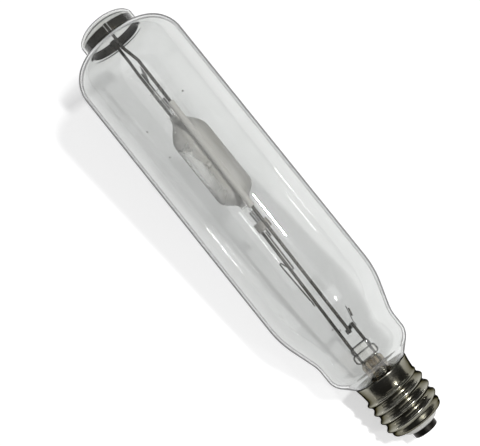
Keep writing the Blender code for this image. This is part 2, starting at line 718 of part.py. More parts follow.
def upper_strap(foot, shoulder):
    """The strip from rod to rod that the arc tube's upper lead is welded to."""
    near = beside(foot, shoulder, STRAP_MIDDLE)
    off_rod = ROD_RADIUS + SEAT_GAP + STRAP_SHEET / 2
    off_lead = ARC_LEAD_RADIUS + SEAT_GAP + STRAP_SHEET / 2
    bottom = STRAP_MIDDLE - STRAP_HEIGHT / 2
    reach = ROD_REACH + STRIP_OVERHANG
    path = [
        at(near.x - off_rod, -reach, bottom),
        at(near.x - off_rod, -ROD_REACH + STRIP_OVERHANG, bottom),
        at(off_lead, -STRIP_OVERHANG, bottom),
        at(off_lead, STRIP_OVERHANG, bottom),
        at(FAR_ROD_X + off_rod, ROD_REACH - STRIP_OVERHANG, bottom),
        at(FAR_ROD_X + off_rod, reach, bottom),
    ]
    strip("upper_strap", path, at(0, 0, STRAP_HEIGHT), STRAP_SHEET, DARK_STRIP)


def cross_strip(foot):
    """The short strip from the right lead-in to the foot of the near rod."""
    lead = at(LEAD_X, 0, foot.z)
    line = (foot - lead).normalized()
    off = at(line.y, -line.x, 0)
    start = lead + off * (LEAD_RADIUS + SEAT_GAP + CROSS_SHEET / 2) - line * STRIP_OVERHANG
    end = foot + off * (ROD_RADIUS + SEAT_GAP + CROSS_SHEET / 2) + line * STRIP_OVERHANG
    strip("cross_strip", [start, end], at(0, 0, CROSS_HEIGHT), CROSS_SHEET, DARK_STRIP)


def lower_clamp():
    """A band folded round the lower pinch."""
    x = PINCH_WIDTH / 2 + SEAT_GAP + CLAMP_SHEET / 2
    y = PINCH_THICKNESS / 2 + SEAT_GAP + CLAMP_SHEET / 2
    corners = [(at(sx * x, sy * y, CLAMP_BOTTOM), CLAMP_CORNER) for sx, sy in
               ((1, -1), (1, 1), (-1, 1), (-1, -1))]
    start = at(0, -y, CLAMP_BOTTOM)
    path = rounded([(start, 0), *corners, (start, 0)], math.radians(45.0))
    band = strip("lower_clamp", path[:-1], at(0, 0, CLAMP_HEIGHT), CLAMP_SHEET, WIRE_METAL, True)
    band.modifiers["sheet"].use_rim = True


def flatten(distance, shoulder):
    """How far the arc tube has turned into its pinch, from 0 to 1, at a distance from its middle."""
    share = (distance - ARC_STRAIGHT / 2) / shoulder
    share = max(0.0, min(1.0, share))
    return 0.5 - 0.5 * math.cos(math.pi * share**1.5)


def arc_tube():
    """Quartz blown round in the middle and pinched flat at both ends, bored for its leads."""
    columns = 16
    rows = 6
    stations = []
    for direction, shoulder in ((1, UPPER_SHOULDER), (-1, LOWER_SHOULDER)):
        end = ARC_STRAIGHT / 2 + shoulder + PINCH_LENGTH
        side = [(direction * end, 1.0)]
        for i in range(rows, -1, -1):
            distance = ARC_STRAIGHT / 2 + shoulder * i / rows
            side.append((direction * distance, flatten(distance, shoulder)))
        stations += side if direction > 0 else side[::-1]

    def build(shape):
        rings = []
        for distance, flat in stations:
            half_x = ARC_RADIUS + (PINCH_WIDTH / 2 - ARC_RADIUS) * flat
            half_y = ARC_RADIUS + (PINCH_THICKNESS / 2 - ARC_RADIUS) * flat
            power = 1.0 / (1.0 + 1.5 * flat**3)
            ring = []
            for j in range(columns):
                angle = 2 * math.pi * (j + 0.5) / columns
                x = math.copysign(abs(math.cos(angle)) ** power, math.cos(angle)) * half_x
                y = math.copysign(abs(math.sin(angle)) ** power, math.sin(angle)) * half_y
                ring.append(shape.verts.new((x, y, LIGHT_CENTRE + distance)))
            rings.append(ring)
        for upper, lower in zip(rings, rings[1:]):
            for j in range(columns):
                k = (j + 1) % columns
                shape.faces.new((upper[j], lower[j], lower[k], upper[k]))
        shape.faces.new(rings[0])
        shape.faces.new(rings[-1][::-1])

    obj = add_object("arc_tube", mesh_from("arc_tube", build), QUARTZ)
    smooth(obj, 50.0)
    boolean(obj, exhaust_pip(), "UNION")
    inner = ARC_RADIUS - ARC_WALL
    top = on_section(0, LIGHT_CENTRE + ARC_STRAIGHT / 2)
    bottom = on_section(0, LIGHT_CENTRE - ARC_STRAIGHT / 2)
    hollow = arc(top, inner, UPPER_SHOULDER * CHAMBER_SHARE, 90, 0, 6)
    hollow += arc(bottom, inner, LOWER_SHOULDER * CHAMBER_SHARE, 0, -90, 6)
    boolean(obj, turned("arc_chamber", hollow, None, columns), "DIFFERENCE")
    past = at(0, 0, PINCH_LENGTH / 4)
    bore = drill(
        "shank_bore", SHANK_RADIUS + SEAT_GAP, at(0, 0, LOWER_PINCH_END) - past,
        at(0, 0, UPPER_PINCH_END) + past,
    )
    boolean(obj, bore, "DIFFERENCE")
    for name, middle in foil_middles():
        room = Vector((FOIL_WIDTH, FOIL_SHEET, FOIL_LENGTH)) + Vector((2, 2, 2)) * SEAT_GAP
        boolean(obj, block(f"{name}_foil_room", room, at(0, 0, middle), 0), "DIFFERENCE")


def exhaust_pip():
    """The tip where the arc tube's own exhaust was sealed off, on its near side."""
    sink = ARC_WALL
    outline = arc(on_section(0, 0), PIP_RADIUS, PIP_HEIGHT, 90, 0, 3) + [
        on_section(PIP_RADIUS, -sink),
        on_section(0, -sink),
    ]
    obj = turned("exhaust_pip", outline, None, 12)
    lean = math.asin(PIP_X / ARC_RADIUS)
    obj.rotation_euler = (math.pi / 2, 0, lean)
    obj.location = at(ARC_RADIUS * math.sin(lean), -ARC_RADIUS * math.cos(lean), LIGHT_CENTRE)
    return obj


def arc_ends():
    """For each end: its name, its direction along Z, and where its pinch starts from the middle."""
    half = ARC_STRAIGHT / 2
    return (("upper", 1, half + UPPER_SHOULDER), ("lower", -1, half + LOWER_SHOULDER))


def foil_middles():
    middle = FOIL_OFFSET + FOIL_LENGTH / 2
    return [(name, LIGHT_CENTRE + way * (start + middle)) for name, way, start in arc_ends()]


def foils():
    for name, middle in foil_middles():
        size = Vector((FOIL_WIDTH, FOIL_SHEET, FOIL_LENGTH))
        block(f"{name}_foil", size, at(0, 0, middle), 0, MOLYBDENUM)


def electrodes():
    """A tungsten shank with a coil wound on it, behind a bare tip."""
    for name, way, start in arc_ends():
        chamber_end = ARC_STRAIGHT / 2 + (start - ARC_STRAIGHT / 2) * CHAMBER_SHARE
        coil_end = chamber_end - COIL_STANDOFF
        coil_start = coil_end - COIL_PITCH * COIL_TURNS
        tip = coil_start - COIL_LEAD
        outline = [on_section(0, -tip), on_section(SHANK_RADIUS, -tip)]
        for turn in range(COIL_TURNS):
            middle = coil_start + COIL_PITCH * (turn + 0.5)
            outline += [
                on_section(SHANK_RADIUS, -middle + COIL_PITCH * 0.47),
                on_section(COIL_RADIUS, -middle + COIL_PITCH * 0.25),
                on_section(COIL_RADIUS, -middle - COIL_PITCH * 0.25),
            ]
        root = start + FOIL_OFFSET - SEAT_GAP
        outline += [
            on_section(SHANK_RADIUS, -coil_end),
            on_section(SHANK_RADIUS, -root),
            on_section(0, -root),
        ]
        obj = turned(f"{name}_electrode", outline, TUNGSTEN, 8)
        obj.location = at(0, 0, LIGHT_CENTRE)
        obj.rotation_euler = (math.pi if way > 0 else 0, 0, 0)


def arc_leads():
    """The stiff leads that leave the pinches."""
    foil_end = FOIL_OFFSET + FOIL_LENGTH + SEAT_GAP
    ends = {"upper": STRAP_MIDDLE + STRAP_HEIGHT / 2, "lower": LOWER_PINCH_END - LOWER_LEAD_TAIL}
    for name, way, start in arc_ends():
        root = at(0, 0, LIGHT_CENTRE + way * (start + foil_end))
        tip = at(0, 0, ends[name])
        wire(f"{name}_arc_lead", [(root, 0), (tip, 0)], ARC_LEAD_RADIUS, WIRE_METAL)


def flexible_lead(bend, meeting):
    """The thin lead that hooks from the lower arc lead over to the left lead-in rod."""
    off = ARC_LEAD_RADIUS + SEAT_GAP + FLEX_RADIUS
    hook = LOWER_PINCH_END - FLEX_HOOK_DROP
    aside = at(-(LEAD_RADIUS + SEAT_GAP + FLEX_RADIUS), 0, 0)
    joint = hook - FLEX_TAIL_DROP
    corners = [
        (at(-off, 0, LOWER_PINCH_END - FLEX_START), 0),
        (at(-off, 0, LOWER_PINCH_END - LOWER_LEAD_TAIL), FLEX_SWEEP),
        (at(FLEX_LOOP_X, 0, hook), FLEX_BEND),
        (at(FLEX_LOOP_X - FLEX_LOOP, 0, hook), 2 * FLEX_BEND),
        (at(FLEX_HOOK_X + FLEX_CREST, 0, hook + FLEX_HOOK_RISE), FLEX_BEND),
        (at(FLEX_HOOK_X, 0, hook + FLEX_HOOK_RISE), FLEX_BEND),
        (beside(bend, meeting, joint) + aside, FLEX_SWEEP),
        (beside(bend, meeting, joint - FLEX_WELD) + aside, 0),
    ]
    wire("flexible_lead", corners, FLEX_RADIUS, WIRE_METAL)


def getter():
    """A pressed getter disc on a bent strip beside the right lead-in rod."""
    side = LEAD_X + LEAD_RADIUS + SEAT_GAP + GETTER_STRIP_SHEET / 2
    low = CROSS_TOP - CROSS_HEIGHT
    knee = low + GETTER_STRIP_RISE * 0.25
    top = low + GETTER_STRIP_RISE
    edge = -GETTER_STRIP_WIDTH / 2
    path = [
        at(side, edge, low),
        at(side, edge, knee),
        at(side + GETTER_STRIP_LEAN, edge, top),
    ]
    strip("getter_strip", path, at(0, GETTER_STRIP_WIDTH, 0), GETTER_STRIP_SHEET, DARK_STRIP)
    lean = (path[2] - path[1]).normalized()
    outward = at(lean.z, 0, -lean.x)
    half = GETTER_THICKNESS / 2
    outline = [
        on_section(0, half * 0.6),
        on_section(GETTER_RADIUS * 0.45, half * 0.6),
        on_section(GETTER_RADIUS * 0.6, half),
        on_section(GETTER_RADIUS, half),
        on_section(GETTER_RADIUS, -half),
        on_section(0, -half),
    ]
    disc = turned("getter_disc", outline, GETTER_METAL, 16)
    seat = path[1].lerp(path[2], 0.55) + at(0, GETTER_STRIP_WIDTH / 2, 0)
    disc.location = seat + outward * (GETTER_STRIP_SHEET / 2 + SEAT_GAP + half)
    disc.rotation_euler = outward.to_track_quat("Z", "Y").to_euler()


def build_lamp():
    outer_bulb()
    cap_shell()
    cap_insulator()
    centre_contact()
    basing_cement()
    stem_glass()
    exhaust_tube()
    bend, meeting, tail = lead_in_rods()
    cap_wires(tail)
    foot, shoulder = support_rods()
    insulating_sleeve(foot, shoulder)
    dome_springs()
    spring_clip()
    upper_strap(foot, shoulder)
    cross_strip(foot)
    lower_clamp()
    arc_tube()
    foils()
    electrodes()
    arc_leads()
    flexible_lead(bend, meeting)
    getter()


build_lamp()
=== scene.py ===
"""The looks of the tubular metal halide lamp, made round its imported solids.

The lamp stands along +Z, and the floor that it lies on in the picture is behind it, at +Y.
Sizes are in metres.
"""

import math

import bmesh
import bpy
from mathutils import Matrix, Vector


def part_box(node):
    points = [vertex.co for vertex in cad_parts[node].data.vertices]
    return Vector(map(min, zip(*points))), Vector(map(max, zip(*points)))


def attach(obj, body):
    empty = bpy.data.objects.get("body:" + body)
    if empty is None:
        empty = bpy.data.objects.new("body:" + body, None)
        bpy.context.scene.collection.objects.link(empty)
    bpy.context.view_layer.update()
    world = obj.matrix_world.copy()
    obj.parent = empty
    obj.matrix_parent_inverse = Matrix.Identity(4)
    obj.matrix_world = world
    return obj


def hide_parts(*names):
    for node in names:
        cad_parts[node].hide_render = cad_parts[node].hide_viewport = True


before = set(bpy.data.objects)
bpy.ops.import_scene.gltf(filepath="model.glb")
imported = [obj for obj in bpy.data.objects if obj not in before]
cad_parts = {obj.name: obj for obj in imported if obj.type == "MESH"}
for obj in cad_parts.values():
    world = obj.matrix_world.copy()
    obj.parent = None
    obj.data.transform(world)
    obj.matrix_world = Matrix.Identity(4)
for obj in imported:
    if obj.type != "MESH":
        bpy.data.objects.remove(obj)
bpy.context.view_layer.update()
MM = 0.001
SEAT_GAP = 0.3 * MM
TOUCHING = 1e-7  # points closer than this are one point
SHARP = 35.0  # degrees between faces, from which an edge stays sharp

# Heights and reaches that the solids give
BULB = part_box("outer_bulb")
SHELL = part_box("cap_shell")
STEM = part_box("stem_glass")
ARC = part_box("arc_tube")
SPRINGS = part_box("dome_spring_left")
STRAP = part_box("upper_strap")
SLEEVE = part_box("insulating_sleeve")
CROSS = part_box("cross_strip")
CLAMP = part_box("lower_clamp")
LEFT_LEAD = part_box("lead_in_left")
RIGHT_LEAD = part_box("lead_in_right")
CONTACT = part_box("centre_contact")
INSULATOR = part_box("cap_insulator")
NEAR_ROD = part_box("near_support_rod")
FAR_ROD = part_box("far_support_rod")
UPPER_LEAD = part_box("upper_arc_lead")
LOWER_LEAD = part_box("lower_arc_lead")
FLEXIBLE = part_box("flexible_lead")
GETTER_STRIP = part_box("getter_strip")
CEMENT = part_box("basing_cement")

# Outer bulb
GLASS_WALL = 1.5 * MM
NECK_RADIUS = 15.4 * MM
NECK_FILLET = 4.0 * MM
BASE_SLOPE = math.radians(44.5)
BULGE_RADIUS = 29.1 * MM
BULGE_HEIGHT = 15.0 * MM
BULGE_FILLET = 12.0 * MM
WAIST_FILLET = 25.0 * MM
TAPER_HEIGHT = 27.0 * MM
TAPER_FILLET = 62.0 * MM
TUBE_RADIUS = 38.0 * MM
TUBE_LENGTH = 192.6 * MM
SHOULDER_RADIUS = 20.0 * MM
DOME_RADIUS = 19.6 * MM
DOME_FILLET = 1.2 * MM
DOME_CROWN = 8.8 * MM

# Cap
SHELL_SHEET = 0.4 * MM
SHELL_LIP_RADIUS = 13.4 * MM
SHELL_CORNER = 2.2 * MM
FOOT_BEND = SHELL_CORNER * 0.95  # from the shell's side into its lip
THREAD_ROOT = 17.8 * MM
THREAD_DEPTH = 1.85 * MM
THREAD_PITCH = 6.35 * MM
THREAD_TURNS = 4
THREAD_FADE = 2.6 * MM
THREAD_CREST = 1.4  # the power that narrows the crests
COLLAR_HEIGHT = 8.8 * MM
COLLAR_FLARE = 1.2 * MM
COLLAR_CURVE = 1.5  # the power by which the flare grows towards the rim
COLLAR_ROWS = 12
THREAD_ROWS = 20  # in each turn
SHELL_COLUMNS = 144
CONTACT_RADIUS = 8.2 * MM
CONTACT_SHEET = 0.6 * MM
CONTACT_EDGE = 0.9 * MM
CONTACT_RIM = 0.2 * MM
CONTACT_HOLLOW = 0.3 * MM  # bend inside the button
INSULATOR_HOLE = 2.2 * MM
INSULATOR_SWELL = 0.9 * MM
INSULATOR_FILLET = 5.0 * MM
INSULATOR_EDGE = 0.5 * MM
NECK_EDGE = 0.1 * MM  # where the cone passes the shell's lip
CEMENT_EDGE = 0.3 * MM

# Stem
STEM_RADIUS = 7.7 * MM
STEM_WALL = 1.2 * MM
STEM_ROOF = 5.2 * MM
ROOF_LAP = 1.3 * MM  # how far the roof reaches into the press
FLARE_HEIGHT = 15.6 * MM
PRESS_SIZE = Vector((17.0, 5.8, 6.1)) * MM
PRESS_EDGE = 2.4 * MM
HEAD_SIZE = Vector((12.6, 5.0, 5.4)) * MM
HEAD_EDGE = 2.2 * MM
FUSED_LAP = 0.6 * MM  # by which the press and the head reach into each other
HOLE_CLEARANCE = 0.05 * MM
HOLE_PAST = 9.0 * MM  # how far the leads' holes are cut past the head
EXHAUST_RADIUS = 2.5 * MM
EXHAUST_WALL = 0.8 * MM
EXHAUST_TAPER = 0.8  # share of its radius that is left, one radius above its tip

# Frame and leads
LEAD_RADIUS = 1.0 * MM
LEAD_X = 5.1 * MM
LEFT_LEAD_BEND = 4.0 * MM  # above the stem's head
LEFT_LEAD_TURN = 3.0 * MM  # below the clamp
ROD_RADIUS = 1.0 * MM
ROD_BEND = 6.0 * MM
ROD_FOOT_X = 1.1 * MM
ROD_SHOULDER_X = 3.9 * MM
ROD_SHOULDER_DROP = 26.5 * MM
ROD_JOG = 11.0 * MM
RING_ROD_X = 1.5 * MM
FAR_ROD_X = -2.0 * MM
SLEEVE_RADIUS = 2.05 * MM
SLEEVE_CLEARANCE = 1.2 * MM
SLEEVE_EDGE = 0.25 * MM
SLEEVE_LEAN = 0.05 * MM  # by which the leaning sleeve's rims pass the ends of its axis
WIRE_SIDES = 20
WIRE_STEP = 6.0 * MM  # the longest straight piece of a wire's line
STRIP_OVERHANG = 1.4 * MM
STRIP_EDGE = 0.35  # share of a strip's sheet by which its edges are rounded
SPRING_SHEET = 0.4 * MM
SPRING_STEPS = 48
STRAP_SHEET = 0.5 * MM
STRAP_BEND = 1.5 * MM
CROSS_SHEET = 0.6 * MM
CLAMP_SHEET = 0.4 * MM
CLAMP_CORNER = 1.2 * MM
CLIP_WIDTH = 4.6 * MM
CLIP_CURL = 1.3 * MM
CLIP_BEND = 0.8 * MM
LOWER_LEAD_TAIL = 5.0 * MM
FLEX_RADIUS = 0.45 * MM
FLEX_HOOK_DROP = 29.5 * MM  # lowest point of the hook, below the lower pinch's end
FLEX_HOOK_RISE = 7.2 * MM
FLEX_HOOK_X = -7.0 * MM
FLEX_CREST = 1.1 * MM  # width of the hook's upper turn
FLEX_LOOP_X = -1.8 * MM
FLEX_LOOP = 1.4 * MM  # width of the hook's lower turn
FLEX_BEND = 0.6 * MM
FLEX_SWEEP = 3.0 * MM
FLEX_TAIL_DROP = 23.5 * MM

# Getter
GETTER_RADIUS = 2.6 * MM
GETTER_HALF = 0.5 * MM  # half the pill's thickness
GETTER_SINK = 0.4  # share of that half by which the pill's middle is pressed in
GETTER_DISH = 0.45  # share of the radius that the pressed middle takes up
GETTER_SLOPE = 0.6  # share of the radius at which the slope round it ends
GETTER_EDGE = 0.25 * MM
GETTER_DISH_EDGE = 0.4 * MM
GETTER_SHEET = 0.4 * MM
GETTER_KNEE = 0.25  # share of the strip's height that lies below its bend
GETTER_LEAN = 2.2 * MM
GETTER_BEND = 2.0 * MM
GETTER_CORNER = 0.03 * MM  # by which the leaning strip's corner passes its middle line

# Arc tube
ARC_RADIUS = 12.7 * MM
ARC_WALL = 1.6 * MM
ARC_STRAIGHT = 37.6 * MM
UPPER_SHOULDER = 18.6 * MM
LOWER_SHOULDER = 12.4 * MM
PINCH_LENGTH = 21.0 * MM
PINCH_WIDTH = 8.4 * MM
PINCH_THICKNESS = 5.2 * MM
PINCH_CURVE = 1.5  # the power by which the quartz turns into its pinch
PINCH_SQUARE = 1.5  # how square the pinch's section is
ARC_COLUMNS = 64
PINCH_ROWS = 8
SHOULDER_ROWS = 24
PIP_RADIUS = 2.3 * MM
PIP_HEIGHT = 2.6 * MM
PIP_X = -2.4 * MM
PIP_FOOT = 1.25  # how much wider the pip is where it meets the tube
PIP_SINK = ARC_WALL / 2
CHAMBER_SHARE = 0.72
FOIL_ROOM = 0.2 * MM
FOIL_ROOM_EDGE = 0.02 * MM
SHANK_RADIUS = 0.7 * MM
SHANK_CLEARANCE = 0.1 * MM
BORE_PAST = 4.0 * MM
COIL_RADIUS = 1.7 * MM
COIL_TURNS = 4
COIL_PITCH = 1.6 * MM
COIL_LEAD = 1.3 * MM
ARC_LEAD_RADIUS = 0.5 * MM

# Heights worked out from the above
RIM_Z = SHELL[1].z
THREAD_TOP = RIM_Z - COLLAR_HEIGHT
THREAD_BOTTOM = THREAD_TOP - THREAD_TURNS * THREAD_PITCH
LIP_Z = SHELL[0].z
RIM_RADIUS = THREAD_ROOT + COLLAR_FLARE
GLASS_AT_RIM = RIM_RADIUS - SHELL_SHEET - SEAT_GAP
NECK_TOP = RIM_Z - (GLASS_AT_RIM - NECK_RADIUS) * math.tan(BASE_SLOPE)
NECK_END = BULB[0].z
BULGE_BOTTOM = RIM_Z + (BULGE_RADIUS - GLASS_AT_RIM) * math.tan(BASE_SLOPE)
BULGE_TOP = BULGE_BOTTOM + BULGE_HEIGHT
TUBE_BOTTOM = BULGE_TOP + TAPER_HEIGHT
TUBE_TOP = TUBE_BOTTOM + TUBE_LENGTH
SHOULDER_CENTRE = TUBE_RADIUS - SHOULDER_RADIUS
CROWN_Z = BULB[1].z - DOME_CROWN
LIGHT_CENTRE = ARC[0].z + PINCH_LENGTH + LOWER_SHOULDER + ARC_STRAIGHT / 2
HEAD_TOP = STEM[1].z
HEAD_BOTTOM = HEAD_TOP - HEAD_SIZE.z
PRESS_BOTTOM = HEAD_BOTTOM - PRESS_SIZE.z
STEM_FOOT = STEM[0].z + FLARE_HEIGHT
SPRING_MIDDLE = (SPRINGS[0].z + SPRINGS[1].z) / 2
STRAP_MIDDLE = (STRAP[0].z + STRAP[1].z) / 2

# Reaches worked out from the above
RING_INSIDE = DOME_RADIUS - GLASS_WALL
SPRING_RADIUS = RING_INSIDE - SEAT_GAP - SPRING_SHEET / 2
RING_ROD_RADIUS = RING_INSIDE - SEAT_GAP - ROD_RADIUS
RING_ROD_Y = math.sqrt(RING_ROD_RADIUS**2 - RING_ROD_X**2)
ROD_REACH = ARC_RADIUS + SLEEVE_CLEARANCE + SLEEVE_RADIUS


def at(x, y, z):
    """A point, a size or a way."""
    return Vector((x, y, z))


def on_section(radius, z):
    """A point of a turned outline, which lies in the XZ plane."""
    return Vector((radius, 0.0, z))


def rounded(corners, step=math.radians(6.0)):
    """The points of a line through the corners, each a point and the radius of its bend."""
    points = [corners[0][0]]
    for (before, _), (corner, radius), (after, _) in zip(corners, corners[1:], corners[2:]):
        back = (before - corner).normalized()
        on = (after - corner).normalized()
        half = back.angle(on) / 2
        if radius <= 0 or math.cos(half) < 1e-4:
            points.append(corner)
            continue
        centre = corner + (back + on).normalized() * radius / math.sin(half)
        start = corner + back * radius / math.tan(half) - centre
        sweep = math.pi - 2 * half
        count = max(2, math.ceil(sweep / step))
        for i in range(count + 1):
            turn = Matrix.Rotation(sweep * i / count, 3, back.cross(on) * -1)
            points.append(centre + turn @ start)
    points.append(corners[-1][0])
    return points


def arc(centre, across, along, start, end, count):
    """Points of an ellipse in the XZ plane, by its half-axes and angles from +X in degrees."""
    points = []
    for i in range(count + 1):
        angle = math.radians(start + (end - start) * i / count)
        points.append(centre + on_section(across * math.cos(angle), along * math.sin(angle)))
    return points


def beside(start, end, z):
    """The point of the line from start to end at the height z."""
    return start.lerp(end, (z - start.z) / (end.z - start.z))


def aimed(place, way):
    """Takes a shape from the origin to a place, with its Z axis turned the given way."""
    return Matrix.Translation(place) @ way.to_track_quat("Z", "Y").to_matrix().to_4x4()


def even(points, step):
    """The same line with points no further apart than step."""
    made = [points[0]]
    for first, second in zip(points, points[1:]):
        count = max(1, math.ceil((second - first).length / step))
        made += [first.lerp(second, i / count) for i in range(1, count + 1)]
    return made


def add_object(name, data):
    """A new object in the scene, with its mesh, lamp or camera."""
    made = bpy.data.objects.new(name, data)
    bpy.context.scene.collection.objects.link(made)
    return made


def show(name, mesh, finish, slot, *nodes):
    """The finished piece, which rides on the lamp and stands for the named solids."""
    piece = add_object(name, mesh)
    mesh.materials.clear()
    mesh.materials.append(finish)
    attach(piece, "root")
    if nodes:
        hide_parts(*nodes)
    return piece


def mesh_from(name, build, sharp=SHARP):
    """A smooth mesh that the function build fills, sharp where its faces meet at a steep angle."""
    shape = bmesh.new()
    build(shape)
    bmesh.ops.remove_doubles(shape, verts=shape.verts, dist=TOUCHING)
    mesh = bpy.data.meshes.new(name)
    shape.to_mesh(mesh)
    shape.free()
    mesh.shade_smooth()
    mesh.set_sharp_from_angle(angle=math.radians(sharp))
    return mesh


def turned(name, outline, steps=96, closed=False, sharp=SHARP):
    """A mesh turned about the axis. The outline runs down its outer side."""

    def build(shape):
        rings = []
        for point in outline:
            count = steps if point.x > TOUCHING else 1
            rings.append([
                shape.verts.new(Matrix.Rotation(2 * math.pi * j / steps, 3, "Z") @ point)
                for j in range(count)
            ])
        for upper, lower in zip(rings, rings[1:] + rings[:1] if closed else rings[1:]):
            if len(upper) == 1 and len(lower) == 1:
                continue
            for j in range(steps):
                k = (j + 1) % steps
                ring = [upper[j % len(upper)], lower[j % len(lower)]]
                ring += [lower[k % len(lower)], upper[k % len(upper)]]
                shape.faces.new(list(dict.fromkeys(ring)))

    return mesh_from(name, build, sharp)


def with_wall(piece, wall):
    """Gives an open sheet its thickness, on its inner side."""
    solidify = piece.modifiers.new("wall", "SOLIDIFY")
    solidify.thickness = wall
    solidify.offset = -1.0
    solidify.use_even_offset = True
    solidify.use_quality_normals = True


def node(tree, kind, inputs=None, **settings):
    """A new node. Each input is a value or the socket of another node."""
    made = tree.nodes.new(kind)
    for name, value in settings.items():
        setattr(made, name, value)
    for name, value in (inputs or {}).items():
        socket = made.inputs[name]
        if isinstance(value, bpy.types.NodeSocket):
            tree.links.new(value, socket)
        else:
            socket.default_value = value
    return made


def math_of(tree, operation, first, second=0.0, third=0.0):
    """The socket of a sum, each of whose terms is a number or a socket."""
    made = node(tree, "ShaderNodeMath", {0: first, 1: second, 2: third}, operation=operation)
    return made.outputs[0]


# Geometry trees


def geometry_tree(name, *sizes):
    """An empty geometry tree with its named inputs, and its input and output nodes."""
    tree = bpy.data.node_groups.new(name, "GeometryNodeTree")
    tree.interface.new_socket("Base", in_out="INPUT", socket_type="NodeSocketGeometry")
    for size in sizes:
        kind = "NodeSocketInt" if size in ("Sides", "Turns") else "NodeSocketFloat"
        tree.interface.new_socket(size, in_out="INPUT", socket_type=kind)
    tree.interface.new_socket("Finish", in_out="INPUT", socket_type="NodeSocketMaterial")
    tree.interface.new_socket("Made", in_out="OUTPUT", socket_type="NodeSocketGeometry")
    return tree, tree.nodes.new("NodeGroupInput").outputs, tree.nodes.new("NodeGroupOutput")


def end_tree(tree, made, given, out):
    """The last nodes of each tree: smooth shading, real copies and the finish."""
    smooth = node(tree, "GeometryNodeSetShadeSmooth", {"Geometry": made})
    real = node(tree, "GeometryNodeRealizeInstances", {"Geometry": smooth.outputs[0]})
    done = node(
        tree, "GeometryNodeSetMaterial", {"Geometry": real.outputs[0], "Material": given["Finish"]}
    )
    tree.links.new(done.outputs[0], out.inputs["Made"])


def swept(tree, line, section):
    """The section drawn along the line, with closed ends."""
    inputs = {"Curve": line.outputs[0], "Profile Curve": section.outputs[0], "Fill Caps": True}
    return node(tree, "GeometryNodeCurveToMesh", inputs).outputs[0]


def ring_of(tree, sides, radius):
    """The round section of a wire."""
    inputs = {"Resolution": sides, "Radius": radius}
    return node(tree, "GeometryNodeCurvePrimitiveCircle", inputs)


def wire_tree():
    """A round wire along a line."""
    tree, given, out = geometry_tree("drawn_wire", "Radius", "Sides")
    line = node(tree, "GeometryNodeMeshToCurve", {"Mesh": given["Base"]})
    ring = ring_of(tree, given["Sides"], given["Radius"])
    end_tree(tree, swept(tree, line, ring), given, out)
    return tree


def strip_tree():
    """A strip of sheet metal on edge along a level line, with softened edges."""
    tree, given, out = geometry_tree("bent_strip", "Sheet", "Width", "Edge")
    line = node(tree, "GeometryNodeMeshToCurve", {"Mesh": given["Base"]})
    upright = node(tree, "GeometryNodeSetCurveNormal", {"Curve": line.outputs[0]})
    upright.mode = "Z_UP"
    section = node(
        tree, "GeometryNodeCurvePrimitiveQuadrilateral",
        {"Width": given["Sheet"], "Height": given["Width"]},
    )
    soft = node(
        tree, "GeometryNodeFilletCurve",
        {"Curve": section.outputs[0], "Radius": given["Edge"], "Count": 3}, mode="POLY",
    )
    end_tree(tree, swept(tree, upright, soft), given, out)
    return tree


def thread_tree():
    """Rolls a screw thread into the side of a turned sheet cup."""
    tree, given, out = geometry_tree("rolled_thread", "Pitch", "Depth", "Foot", "Top", "Fade")
    place = node(tree, "GeometryNodeInputPosition").outputs[0]
    parts = node(tree, "ShaderNodeSeparateXYZ", {0: place}).outputs
    angle = math_of(tree, "ARCTAN2", parts["Y"], parts["X"])
    rise = math_of(tree, "SUBTRACT", parts["Z"], given["Foot"])
    turns = math_of(tree, "DIVIDE", rise, given["Pitch"])
    phase = math_of(tree, "SUBTRACT", math_of(tree, "MULTIPLY", turns, 2 * math.pi), angle)
    wave = math_of(tree, "MULTIPLY_ADD", math_of(tree, "COSINE", phase), 0.5, 0.5)
    crest = math_of(tree, "POWER", wave, THREAD_CREST)
    left = math_of(tree, "SUBTRACT", given["Top"], parts["Z"])
    inside = math_of(tree, "DIVIDE", math_of(tree, "MINIMUM", rise, left), given["Fade"])
    fade = node(
        tree, "ShaderNodeMapRange", {"Value": inside}, interpolation_type="SMOOTHSTEP", clamp=True
    )
    height = math_of(
        tree, "MULTIPLY", math_of(tree, "MULTIPLY", crest, given["Depth"]), fade.outputs[0]
    )
    level = node(tree, "ShaderNodeCombineXYZ", {"X": parts["X"], "Y": parts["Y"]})
    way = node(tree, "ShaderNodeVectorMath", {0: level.outputs[0]}, operation="NORMALIZE")
    offset = node(
        tree, "ShaderNodeVectorMath", {0: way.outputs[0], "Scale": height}, operation="SCALE"
    )
    moved = node(
        tree, "GeometryNodeSetPosition", {"Geometry": given["Base"], "Offset": offset.outputs[0]}
    )
    end_tree(tree, moved.outputs[0], given, out)
    return tree


def coil_tree():
    """A coil of fine wire wound round its axis, from the origin up."""
    tree, given, out = geometry_tree("wound_coil", "Radius", "Wire", "Pitch", "Turns", "Sides")
    turns = math_of(tree, "ADD", given["Turns"], 0.0)
    helix = node(
        tree, "GeometryNodeCurveSpiral",
        {"Resolution": 24, "Rotations": turns, "Start Radius": given["Radius"],
         "End Radius": given["Radius"], "Height": math_of(tree, "MULTIPLY", turns, given["Pitch"])},
    )
    ring = ring_of(tree, given["Sides"], given["Wire"])
    end_tree(tree, swept(tree, helix, ring), given, out)
    return tree


WIRE = wire_tree()
STRIP = strip_tree()
THREAD = thread_tree()
COIL = coil_tree()


